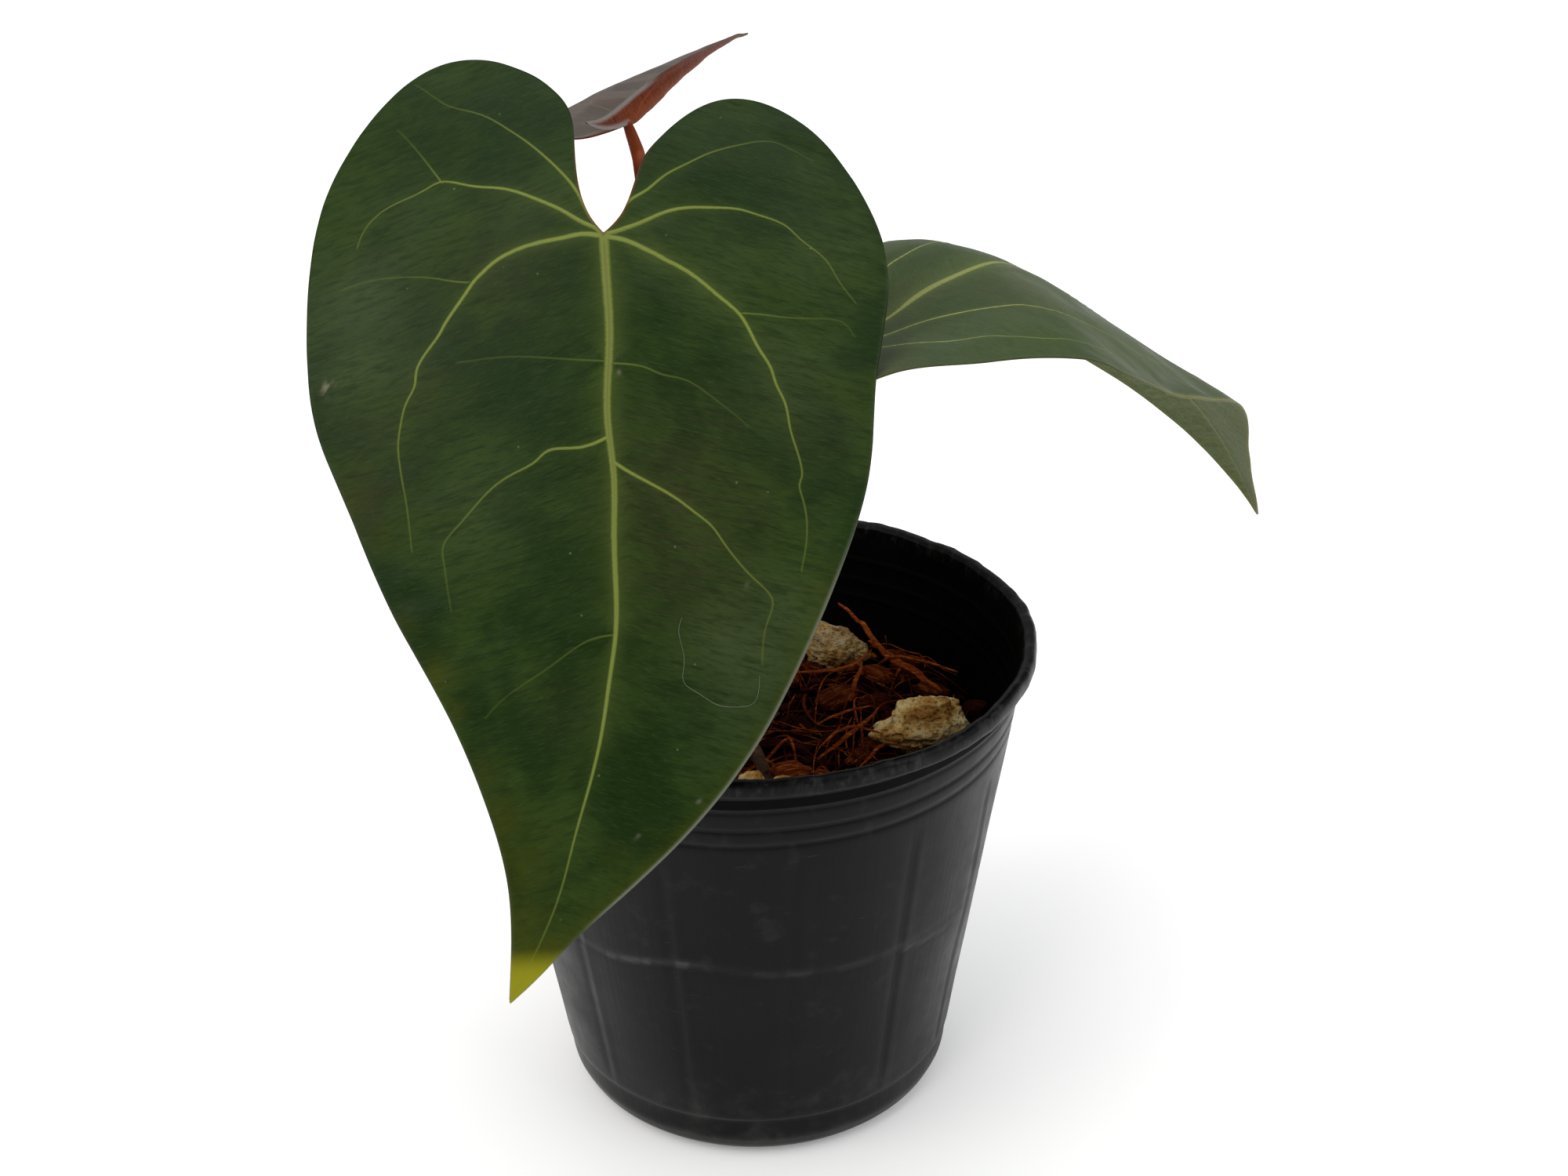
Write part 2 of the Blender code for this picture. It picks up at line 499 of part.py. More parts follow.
def main():
    for old in list(bpy.data.objects):
        bpy.data.objects.remove(old, do_unlink=True)
    root = bpy.context.scene.collection
    plant = bpy.data.collections.new("potted_anthurium")
    cutters = bpy.data.collections.new("cutters")
    root.children.link(plant)
    root.children.link(cutters)
    build_pot(plant, cutters)
    build_mix(plant)
    for k, row in enumerate(STONES):
        build_stone(f"pumice_{k + 1}", row, plant)
    for k, row in enumerate(CHIPS):
        build_chip(f"husk_chip_{k + 1}", row, plant)
    for k, (a, b, c, r) in enumerate(FIBRES):
        rod(f"coco_fibre_{k + 1}", (a, b, c), (r * 0.7, r, r * 0.6), "fibre", plant, 9, 1)
    turned("crown_stem", CROWN_PROFILE, 16, "crown", plant, (*CROWN_XY, CROWN_FOOT))
    for k, row in enumerate(SHEATHS):
        build_sheath(f"cataphyll_{k + 1}", row, plant)
    for k, (a, b, c, r) in enumerate(ROOTS):
        rod(f"aerial_root_{k + 1}", (a, b, c), (r, r, r * 0.6), "crown", plant, 8)
    for name, row in STALKS.items():
        build_stalk(name, row, plant)
    build_blade("blade_front", FRONT_LEAF, "leaf_green", plant)
    build_blade("blade_right", RIGHT_LEAF, "leaf_green", plant)
    build_blade("blade_young", YOUNG_LEAF, "leaf_young", plant)


main()
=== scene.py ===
"""Looks of the potted anthurium: fine leaf blades with their veins, stalks, crown, the
coco husk bed with pumice, and the plastic nursery pot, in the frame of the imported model.

Tables are in millimetres and degrees; meshes are in metres."""

import math

import bpy
import numpy as np
from mathutils import Matrix


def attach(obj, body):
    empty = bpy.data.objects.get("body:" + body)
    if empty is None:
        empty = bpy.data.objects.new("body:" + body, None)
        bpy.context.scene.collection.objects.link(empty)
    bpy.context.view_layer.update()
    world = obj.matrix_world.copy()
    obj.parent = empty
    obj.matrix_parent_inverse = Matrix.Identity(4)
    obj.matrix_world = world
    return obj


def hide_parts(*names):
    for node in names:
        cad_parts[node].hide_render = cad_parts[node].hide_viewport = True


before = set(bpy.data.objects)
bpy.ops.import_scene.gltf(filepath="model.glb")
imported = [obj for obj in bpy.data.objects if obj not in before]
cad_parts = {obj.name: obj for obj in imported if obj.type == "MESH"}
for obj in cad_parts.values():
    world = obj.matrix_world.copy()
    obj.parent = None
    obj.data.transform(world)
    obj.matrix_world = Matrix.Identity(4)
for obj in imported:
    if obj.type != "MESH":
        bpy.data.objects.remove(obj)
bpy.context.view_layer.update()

MM = 0.001

# ---- leaves: the same bent surfaces as the CAD blades -------------------------
FRONT_LEAF = dict(
    foot=(-24.1, -32.6, 204.7), heading=-87.0, length=137.0,
    pitch=((-45, -22), (-20, -34), (0, -42), (40, -55), (90, -66), (145, -74)),
    droop_right=((-50, 4), (0, 3), (150, 2)), droop_left=((-50, 4), (0, 3), (150, 2)),
    curl_right=((-50, 16), (0, 14), (60, 12), (110, 6), (150, 0)),
    curl_left=((-50, 16), (0, 14), (60, 12), (110, 6), (150, 0)),
    roll=((-50, 0), (150, 0)),
    midrib=((0, 0), (70, 0), (78, 2), (94, 6), (111, 11), (128, 18), (137, 23)),
    right=((0, 0), (1.9, -2.8), (4.0, -9.8), (4.6, -20.1), (5.6, -28.5), (12, -38.5), (22.5, -46), (33, -46), (46.5, -31.5), (54, -9.5),
           (55.5, 11), (54, 30.5), (47.5, 49), (40.5, 66.5), (32, 83.5), (25.5, 100.5), (22, 117), (23, 137)),
    left=((0, 0), (-1.9, -1.9), (-3.7, -4.6), (-5.6, -9.5), (-8, -16.3), (-11.2, -21), (-23, -31.5), (-37.5, -29.5), (-49.5, -12), (-52.5, 7),
          (-49, 24.5), (-46, 44.5), (-37, 67.5), (-20, 96.5), (-1.2, 115.5), (11.8, 126.4), (16.6, 131.2), (23, 137)),
)
RIGHT_LEAF = dict(
    foot=(17.1, -1.8, 168.1), heading=22.0, length=138.0,
    pitch=((-40, 21), (0, 26.5), (15, 25), (30, 10.5), (42, -13.5), (55, -34.5), (70, -38.5), (90, -44), (110, -54), (137, -67)),
    droop_right=((-40, 2), (-15, -22), (0, -24.5), (15, -16.5), (30, -8.5), (45, -1), (60, 0.5), (75, -2.5), (90, -8), (110, 0.5), (137, 8.5)),
    droop_left=((-40, 4), (0, -2), (30, -6), (60, 2), (85, 14), (110, 17.5), (137, 18.5)),
    curl_right=((-40, 8.7), (60, 13), (137, 10.5)), curl_left=((-40, 27), (40, 27), (90, 15), (137, 15)),
    roll=((-40, 0), (140, 0)), midrib=((0, 0), (138, 0)),
    right=((0, 0), (4.5, -9), (7.5, -18), (12.3, -24.8), (19.8, -26.6), (26.5, -23.5), (33, -17.5), (40, -5), (46.5, 9),
           (49.2, 30), (46.7, 47.5), (39.5, 67.5), (29, 86), (18, 104), (8.5, 120), (2, 133.5), (0, 138)),
    left=((0, 0), (-3.5, -9), (-6, -18), (-11, -26), (-18.5, -30), (-28, -28.5), (-39, -20), (-46, -5),
          (-48, 12), (-45.5, 30.5), (-41, 48.5), (-33.5, 67.5), (-24.5, 86), (-15.5, 104), (-7.5, 120), (-2, 133.5), (0, 138)),
)
YOUNG_LEAF = dict(
    foot=(-21.7, 25.0, 207.8), heading=74.9, length=95.2,
    pitch=((-25, -21), (0, -1.2), (25, -0.4), (55, -4), (90, -7)),
    droop_right=((-25, -100), (0, -98), (55, -50), (90, -33)), droop_left=((-25, -14), (0, -14), (55, -6), (90, -6)),
    curl_right=((-25, 0), (90, 0)), curl_left=((-25, 4), (90, 4)),
    roll=((-25, 18), (90, 17.5)), midrib=((0, 0), (95, 0)),
    right=((0, 0), (0.5, -6), (1.2, -12), (2.2, -19), (3.1, -22.5), (3.6, -15), (3.8, -4), (3.8, 8.5), (3.6, 20), (3.2, 33),
           (2.7, 46.5), (2.1, 59), (1.6, 72), (1, 83.5), (0.4, 91), (0, 95.2)),
    left=((0, 0), (-1.8, -6), (-3.6, -13), (-6.2, -20), (-9.8, -24), (-13.8, -22.5), (-17.4, -15), (-18.7, -4), (-18.7, 8.5), (-17.4, 20),
          (-14.7, 33), (-11.6, 46.5), (-8.5, 59), (-5.4, 72), (-2.7, 83.5), (-0.9, 91), (0, 95.2)),
)

# Veins: half-width at the start and the end, then (u, v) points from start to end.
FRONT_VEINS = {
    "midrib": (0.80, 0.06, ((0, 0), (-0.2, 12), (-0.2, 20), (0.5, 28), (0.8, 36), (0.2, 45), (0.7, 56), (0.8, 66), (1.3, 73),
                            (2.6, 80), (4.6, 90), (7.4, 99.6), (10.2, 108), (13, 117), (17, 126), (22.4, 136))),
    "lobe_l": (0.42, 0.05, ((0.3, -0.6), (2.2, -3.4), (3.6, -6.9), (4.9, -9.9), (7.6, -14.1), (12.6, -20.6), (16.4, -24.7), (21.5, -29.6), (26.9, -33.1), (31, -38), (34.7, -43))),
    "side_l": (0.48, 0.12, ((0.4, 0), (1.3, -1.0), (3.4, -2.3), (6.9, -5.1), (11.5, -8.1), (17.3, -11.2), (20.9, -12.3), (24.7, -13.6), (29.4, -15.4), (32.2, -14.4), (35.3, -13.1), (40, -11.5), (43.8, -8.3), (45.5, -4))),
    "side_l2": (0.20, 0.05, ((29.4, -15.4), (31.8, -19.9), (34.6, -25.1), (38, -31))),
    "main_l": (0.55, 0.10, ((0.2, 0.6), (3.9, -0.1), (7.1, 0.2), (11.8, 0.8), (15, 1.5), (19, 3.2), (21.7, 5.4), (23.6, 7.3), (25.6, 10.2), (29.1, 14.8), (30.3, 16.9), (34.2, 22.4), (34.8, 25.9), (36.4, 28.8), (37.6, 32.8), (38.2, 37.1), (37.8, 42), (37, 48), (36.5, 56))),
    "main_l2": (0.17, 0.05, ((24.7, 7.3), (27.6, 6.6), (31.8, 5.1), (38.3, 3.9), (43.6, 3.7), (48.8, 4.5))),
    "thin_l": (0.13, 0.05, ((1, 24.4), (5.5, 23.9), (12.5, 22.9), (19, 22.3), (27, 22.5))),
    "mid_l": (0.34, 0.06, ((0.8, 38), (3.7, 39.2), (6.9, 39.7), (11.4, 39.9), (13.6, 41.6), (16.8, 43.2), (20.5, 45.1), (24.1, 48.2), (27.9, 52.1), (30.7, 55.4), (30.7, 58.6), (30.3, 62.5), (29.7, 67))),
    "low_l": (0.15, 0.03, ((1.6, 72.6), (6.3, 73.5), (13.2, 77.8), (20.8, 82.5), (24.5, 86))),
    "lobe_r": (0.40, 0.05, ((-0.3, -0.8), (-2.6, -3.9), (-5.2, -6.9), (-8.3, -9.2), (-11.4, -12.2), (-15, -14.6), (-19.6, -17.6), (-23.5, -19.7), (-27.5, -21.4), (-32.4, -22.7), (-36, -21.4), (-40, -19.5))),
    "side_r": (0.50, 0.10, ((-0.6, 0.2), (-2.4, -0.3), (-4.3, -1.1), (-6.8, -2.2), (-10.7, -4.2), (-14.5, -5.4), (-18.2, -5.7), (-21.9, -5.8), (-25.1, -5.7), (-28.3, -4.8), (-33.2, -3), (-36.1, -0.1), (-40.2, 3.4), (-42.6, 7.7), (-45.5, 12))),
    "main_r": (0.55, 0.10, ((-0.2, 0.8), (-1.9, 1), (-4.1, 1.6), (-7.4, 3.2), (-10.9, 5.3), (-13.8, 7), (-16.9, 9.4), (-20.1, 12.4), (-23.5, 15.6), (-25.2, 18.8), (-26.8, 22.5), (-28.6, 25.8), (-29.4, 28.9), (-30.8, 32.3), (-31.4, 36.6), (-32.3, 40.7), (-33.1, 45.9), (-32.5, 47.4), (-33.1, 50.6), (-33.5, 54.3), (-33.1, 58.5), (-32, 63))),
    "main_r2": (0.17, 0.05, ((-24.4, 15.5), (-28.7, 15.7), (-32.4, 16), (-37.8, 15.9), (-42.8, 16.3), (-44.8, 19))),
    "thin_r": (0.17, 0.05, ((-0.5, 24.9), (-5.9, 25.7), (-9, 27.1), (-12.6, 28), (-15.3, 29.4), (-17.3, 31), (-20.1, 33.3), (-23.8, 36.6))),
    "mid_r": (0.36, 0.08, ((0.3, 42.4), (-1.9, 44), (-5.3, 46.1), (-10.4, 49.3), (-13.8, 52.1), (-16.4, 54.4), (-18.1, 57), (-20.4, 60.4), (-23.7, 64.3), (-26.5, 68), (-25.1, 72.4), (-24.1, 79))),
}
RIGHT_VEINS = {
    "midrib": (0.95, 0.10, ((0, 0), (0.8, 7), (1.2, 14), (-0.6, 21.5), (-1.1, 28.2), (-2, 33.7), (-4.3, 39.3), (-7.3, 46.3), (-6, 60), (-2.5, 80), (0, 100), (0, 120), (0, 137))),
    "main_r": (0.50, 0.10, ((0.2, 0.5), (7.5, 4), (13.4, 9.1), (15.6, 14.8), (19.2, 21.9), (21.3, 27.5), (22.5, 32.5), (24.5, 37.3), (26.4, 45.1), (28, 54), (26, 68), (21, 84))),
    "side_r": (0.46, 0.10, ((0.4, 0), (8, 0), (16, 2.2), (23.4, 5.7), (28.6, 9.9), (33.3, 15.8), (35.1, 20.2), (39.1, 25.9), (40.5, 36), (39, 45))),
    "lobe_r": (0.36, 0.08, ((0.2, -0.5), (4.5, -5), (10, -12), (17, -19), (23, -23))),
    "lobe_r2": (0.32, 0.08, ((0.4, -0.2), (10, -3), (20, -6), (30, -8), (37, -5), (42, 2))),
    "main_l": (0.50, 0.10, ((-0.2, 0.5), (-5, 6), (-11, 13.5), (-17.6, 23.2), (-18.7, 27.4), (-22.9, 37.4), (-26, 52), (-25.5, 66), (-21, 82), (-14, 98))),
    "side_l": (0.44, 0.10, ((-0.4, 0), (-12, 2), (-24, 6), (-33, 13), (-37.5, 22), (-38.5, 34), (-36, 46))),
    "lobe_l": (0.34, 0.08, ((-0.2, -0.5), (-5, -8), (-11, -16), (-17, -22), (-21, -25))),
    "lobe_l2": (0.32, 0.08, ((-0.4, -0.2), (-12, -5), (-24, -8), (-34, -6), (-41, 4), (-43, 14))),
    "mid_r": (0.30, 0.06, ((-6.4, 56), (3, 60), (11, 67), (15, 76), (17, 88))),
    "mid_l": (0.30, 0.06, ((-5.7, 62), (-11, 67), (-14, 75), (-16, 86), (-16, 96))),
    "low_r": (0.20, 0.05, ((-1.6, 86), (5, 91), (8.5, 99), (9, 108))),
    "low_l": (0.20, 0.05, ((-1.2, 90), (-5, 95), (-8, 103), (-8, 112))),
}
YOUNG_VEINS = {
    "midrib": (0.55, 0.10, ((0, 0), (0, 31.7), (0, 63.4), (0, 94.1))),
    "main_l": (0.26, 0.06, ((-0.1, 0.4), (-4.1, 6.9), (-9.4, 13.1), (-13, 16.9), (-14.8, 23.3), (-14.3, 33.8), (-11.6, 44.4))),
    "mid_l": (0.24, 0.06, ((0, 15.9), (-2.7, 21.1), (-5.2, 28.2), (-7.1, 40.2), (-7.5, 52.8), (-5.4, 65.5))),
    "side_l": (0.22, 0.06, ((-0.2, 0), (-6.2, 0.5), (-11.6, 1.6), (-15.9, 6.3), (-16.9, 12.7))),
    "lobe_l": (0.20, 0.06, ((-0.2, -0.4), (-3.6, -6), (-7.6, -12), (-11.2, -18))),
    "low_l": (0.16, 0.05, ((0, 46.5), (-2.2, 52.8), (-4, 63.4), (-3.6, 74))),
    "main_r": (0.20, 0.05, ((0, 2.1), (1.4, 10.6), (2.3, 23.3), (2.1, 38.1))),
}
FRONT_LINT = ((-10.4, 70.2), (-9.7, 72.7), (-10.4, 77.6), (-10.1, 81.3), (-12.6, 83.5), (-15.8, 85.7), (-19.2, 86.3), (-22.3, 85.7), (-23.5, 81.1))

# Blotches on a blade: (u, v, reach, amount).
FRONT_YELLOW = ((47, 47, 5, .55), (43, 53, 4, .5), (38.5, 69, 4, .55), (33, 78.5, 4.5, .85), (31, 84.5, 3.5, .8), (27, 97, 5, .8), (24.5, 105, 7, .9),
                (20.5, 113, 7, .8), (20, 123, 7, .85), (23, 136, 9, 1.0), (-35, 66, 3, .6), (-38, 62, 2.5, .5), (-30, 76, 4, .45),
                (8, 118, 5, .35), (3, 112, 4, .5), (13, 128, 5, .8), (-4, 108, 3, .35), (-24, 87, 4, .3), (16, 108, 6, .45))
FRONT_BROWN = ((-10, 48, 12, 1.0), (-16, 38, 8, .6), (-12, 60, 12, .95), (-20, 51, 9, .7), (-7, 66, 8, .5), (44, 45, 8, .8), (40, 34, 8, .5), (20, 6.5, 10, .55), (33, 27, 7, .5), (-36, 36, 9, .4), (9, 86, 7, .4))
# Grey blotches: partly the blade's own greyish tone, partly painted sheen; the strongest ones, low on the blade and at
# (45, 8) and (46, 20), are the grey gloss of the velvet under the light.
FRONT_GREY_AND_SHEEN = ((-21, 78, 9, 1.0), (-17, 85, 8, .9), (-27, 72, 7, .7), (45, 8, 11, .75), (46, 20, 10, .6), (36, -10, 10, .3), (-10, 3, 9, .35), (13, -7, 8, .3),
              (-18, 8, 9, .3), (-40, 0, 10, .35), (-22, -28, 9, .25), (28, -36, 10, .2), (-38, -14, 9, .25), (24, 50, 9, .35), (-30, 28, 10, .4))
FRONT_DEEP = ((3, 9, 5, 1.0), (30, -24, 10, 1.0), (16, -24, 10, 1.0), (24, -36, 8, .6), (-24, -24, 8, .6), (-40, -10, 8, .5), (30, 8, 6, .6), (-28, -12, 7, .6), (-12, 88, 9, .9), (-3, 98, 7, .6), (14, 60, 9, .5), (5, 5, 9, .8), (4, 18, 9, .6), (22, -20, 9, .8), (-10, -16, 7, .7), (-14, -1, 7, .6), (9, 60, 10, .5), (7, 76, 7, .6), (-5, 75, 8, .5), (5, 92, 7, .5), (-8, 30, 9, .4))

# ---- pot ----------------------------------------------------------------------
POT_HEIGHT, BASE_RADIUS, WALL_SLOPE, WALL, FLOOR = 106.0, 41.3, 16.4 / 103.0, 0.9, 1.3
GROOVES = (88.5, 92.4, 97.1)
STEP_HEIGHT = 11.3
PANELS = 13                  # faint upright panel lines, one of them at this bearing
PANEL_AT = -110.0
DRAIN_COUNT, DRAIN_RING, DRAIN_RADIUS = 6, 24.0, 3.4

# ---- bed ----------------------------------------------------------------------
MIX_LEVEL = 79.0
STONES = (
    (36.5, 0.5, 9.8, 7.4, 6.6, 20, 1), (20.0, 34.5, 7.2, 6.0, 5.4, -35, 2), (-31.0, 22.0, 7.6, 6.0, 4.6, 50, 3),
    (-6.0, 42.5, 5.2, 4.4, 3.8, 10, 4), (-39.0, -12.0, 6.2, 5.0, 4.2, -60, 5), (-17.0, -38.0, 6.6, 5.2, 4.2, 25, 6),
    (14.5, -41.5, 4.6, 3.8, 3.2, 70, 7), (-14.0, -24.0, 4.2, 3.4, 3.0, 0, 8),
)
CHIPS = (
    (38.0, -17.5, 11.0, 7.0, 2.4, 35, 10), (20.0, -27.0, 12.0, 6.5, 2.6, -20, -8), (0.5, -35.0, 9.0, 6.0, 2.2, 60, 7),
    (-32.0, -27.0, 10.5, 7.0, 2.6, 120, 9), (-24.0, 3.0, 12.0, 7.5, 2.8, 75, -9), (-20.0, 38.5, 10.0, 6.0, 2.2, 15, 8),
    (6.5, 26.0, 11.0, 6.0, 2.4, -50, 9), (19.0, 14.5, 10.0, 6.5, 2.4, 30, -9), (40.0, 17.5, 9.0, 5.5, 2.0, 130, 8),
    (-43.5, 7.0, 9.0, 5.0, 2.0, 95, 6),
)
FIBRES = (
    ((27.5, 21.0, 84.0), (33.5, 10.5, 93.0), (44.5, 4.5, 92.0), 0.55), ((14.0, -14.0, 82.6), (22.0, -8.5, 86.5), (27.5, 4.5, 84.0), 0.55),
    ((-14.0, 20.0, 83.0), (-18.0, 30.0, 87.5), (-31.5, 36.0, 83.5), 0.5), ((-25.0, -14.0, 83.0), (-31.0, -19.0, 88.5), (-41.0, -24.5, 84.5), 0.55),
    ((28.0, -36.5, 83.0), (19.0, -36.0, 87.0), (7.0, -46.0, 84.0), 0.5),
)
# Loose strands: radius, then points along them.
STRANDS = (
    (0.62, (20.5, 38.6, 92.0), (26.4, 25.6, 91.0), (29.4, 17.9, 90.0), (38.0, 9.0, 87.5)),
    (0.95, (26.6, 25.9, 88.6), (33.2, 15.6, 88.6), (41.0, 6.5, 86.6)),
    (0.55, (9.1, 14.8, 87.0), (21.1, 14.1, 89.0), (26.7, 21.6, 89.0)),
    (0.50, (21.1, 4.9, 85.6), (22.8, 7.8, 88.4), (24.6, 15.7, 89.0)),
    (0.45, (14.5, -12.0, 85.2), (21.0, -8.0, 87.4), (27.5, -10.0, 86.0)),
    (0.40, (14.0, -4.0, 85.4), (20.0, -2.0, 87.2), (26.0, 2.0, 86.2)),
    (0.42, (22.0, -22.0, 85.4), (27.0, -17.0, 87.4), (33.0, -15.0, 86.2)),
)
# Bright crumbs of husk and chalk: x, y, z, length, width, thickness, turn, chalk or not.
CRUMBS = (
    (7.8, -27.2, 89.6, 8.5, 5.0, 3.6, 20, 0), (14.5, -29.5, 89.2, 5.0, 3.2, 2.4, -15, 0), (28.1, 15.6, 87.4, 7.0, 4.4, 2.6, -30, 0),
    (-0.4, -32.0, 91.0, 5.2, 3.4, 2.8, 15, 1), (6.0, -34.2, 91.2, 3.8, 1.8, 1.6, 0, 1),
)

# ---- crown and stalks ---------------------------------------------------------
CROWN_XY, CROWN_FOOT = (-7.0, 1.0), 80.2
CROWN_PROFILE = ((0, 12.2), (5.6, 12.0), (6.9, 10.4), (6.8, 8.6), (8.0, 6.2), (7.4, 4.0), (8.2, 1.6), (6.2, 0), (0, 0))
SHEATHS = ((215, 27.0, 8.0, 9), (70, 22.0, 7.0, 16), (341, 17.0, 5.2, 24))
ROOTS = (
    ((-3.0, -8.4, 84.5), (-1.0, -14.0, 88.0), (3.0, -21.5, 82.2), 1.5),
    ((-15.9, 6.0, 84.5), (-21.0, 11.5, 87.5), (-25.0, 14.0, 83.0), 1.4),
)
STALKS = {
    "front": (((-10.0, -2.6, 92.4), (-14.5, -8.5, 120.0), (-18.5, -15.5, 155.0), (-21.5, -22.5, 186.0)), 2.1, 1.45, FRONT_LEAF),
    "right": (((-3.6, -1.0, 92.4), (0.0, -1.4, 112.0), (6.5, -2.2, 138.0), (12.5, -3.0, 156.0)), 2.0, 1.4, RIGHT_LEAF),
    "young": (((-8.6, 4.6, 92.4), (-12.0, 9.5, 120.0), (-18.0, 15.0, 150.0), (-18.6, 18.5, 186.0), (-19.6, 21.2, 200.5)), 1.7, 1.1, YOUNG_LEAF),
}

# ---- view ---------------------------------------------------------------------
CAMERA = dict(place=(0.0, -0.43362063, 0.34000723), right=(0.99956965, -0.02506131, -0.01524601),
              up=(0.02504711, 0.4586197, 0.88827958), ahead=(0.01526933, 0.88827918, -0.45905005), lens=54.0, sensor=36.0)


# ---- small numeric helpers ----------------------------------------------------
def smooth_table(table, at):
    """Smooth curve through a table of (place, value) pairs."""
    xs = np.array([row[0] for row in table], float)
    ys = np.array([row[1] for row in table], float)
    steps = np.diff(xs)
    slopes = np.diff(ys) / steps
    ends = np.empty_like(ys)
    ends[0], ends[-1] = slopes[0], slopes[-1]
    if len(xs) > 2:
        ends[1:-1] = (slopes[:-1] * steps[1:] + slopes[1:] * steps[:-1]) / (xs[2:] - xs[:-2])
    at = np.asarray(at, float)
    i = np.clip(np.searchsorted(xs, at) - 1, 0, len(xs) - 2)
    h = xs[i + 1] - xs[i]
    t = (np.clip(at, xs[0], xs[-1]) - xs[i]) / h
    return ((2 * t**3 - 3 * t**2 + 1) * ys[i] + (t**3 - 2 * t**2 + t) * h * ends[i]
            + (3 * t**2 - 2 * t**3) * ys[i + 1] + (t**3 - t**2) * h * ends[i + 1])


def spline(points, count):
    """Natural cubic spline through the points, sampled evenly in root chord length."""
    points = np.asarray(points, float)
    place = np.concatenate([[0], np.cumsum(np.sqrt(np.linalg.norm(np.diff(points, axis=0), axis=1)))])
    place /= place[-1]
    n, h = len(points), np.diff(place)
    system, right = np.zeros((n, n)), np.zeros((n, points.shape[1]))
    system[0, 0] = system[-1, -1] = 1
    for k in range(1, n - 1):
        system[k, k - 1:k + 2] = h[k - 1], 2 * (h[k - 1] + h[k]), h[k]
        right[k] = 6 * ((points[k + 1] - points[k]) / h[k] - (points[k] - points[k - 1]) / h[k - 1])
    bend = np.linalg.solve(system, right)
    at = np.linspace(0, 1, count)
    k = np.clip(np.searchsorted(place, at) - 1, 0, n - 2)
    t, hk = (at - place[k])[:, None], h[k][:, None]
    slope = (points[k + 1] - points[k]) / hk - hk * (2 * bend[k] + bend[k + 1]) / 6
    return points[k] + slope * t + bend[k] * t**2 / 2 + (bend[k + 1] - bend[k]) * t**3 / (6 * hk)


def lattice(i, j, k, seed):
    """Repeatable value in -1..1 for each whole-numbered lattice point."""
    h = (i * 374761393 + j * 668265263 + k * 2147483647 + seed * 1274126177) & 0xFFFFFFFF
    h = ((h ^ (h >> 13)) * 1274126177) & 0xFFFFFFFF
    h = ((h ^ (h >> 16)) * 2246822519) & 0xFFFFFFFF
    return ((h ^ (h >> 15)) & 0xFFFF) / 32767.5 - 1


def noise(points, cell, seed=0, octaves=1):
    """Smooth noise in about -1..1 at points, with features about cell across."""
    points = np.atleast_2d(np.asarray(points, float))
    if points.shape[-1] == 2:
        points = np.concatenate([points, np.zeros(points.shape[:-1] + (1,))], -1)
    total, weight, gain = 0.0, 0.0, 1.0
    for octave in range(octaves):
        p = points / cell * 2**octave + 17.3 * octave
        base = np.floor(p).astype(np.int64)
        f = p - base
        f = f * f * f * (f * (f * 6 - 15) + 10)
        value = 0
        for dx in (0, 1):
            for dy in (0, 1):
                for dz in (0, 1):
                    w = ((f[..., 0] if dx else 1 - f[..., 0]) * (f[..., 1] if dy else 1 - f[..., 1]) * (f[..., 2] if dz else 1 - f[..., 2]))
                    value = value + w * lattice(base[..., 0] + dx, base[..., 1] + dy, base[..., 2] + dz, seed + octave)
        total, weight, gain = total + gain * value, weight + gain, gain * 0.5
    return total / weight * 1.5


def fade(x, low, high):
    """0 below low, 1 above high, smooth between."""
    t = np.clip((np.asarray(x, float) - low) / (high - low), 0, 1)
    return t * t * (3 - 2 * t)


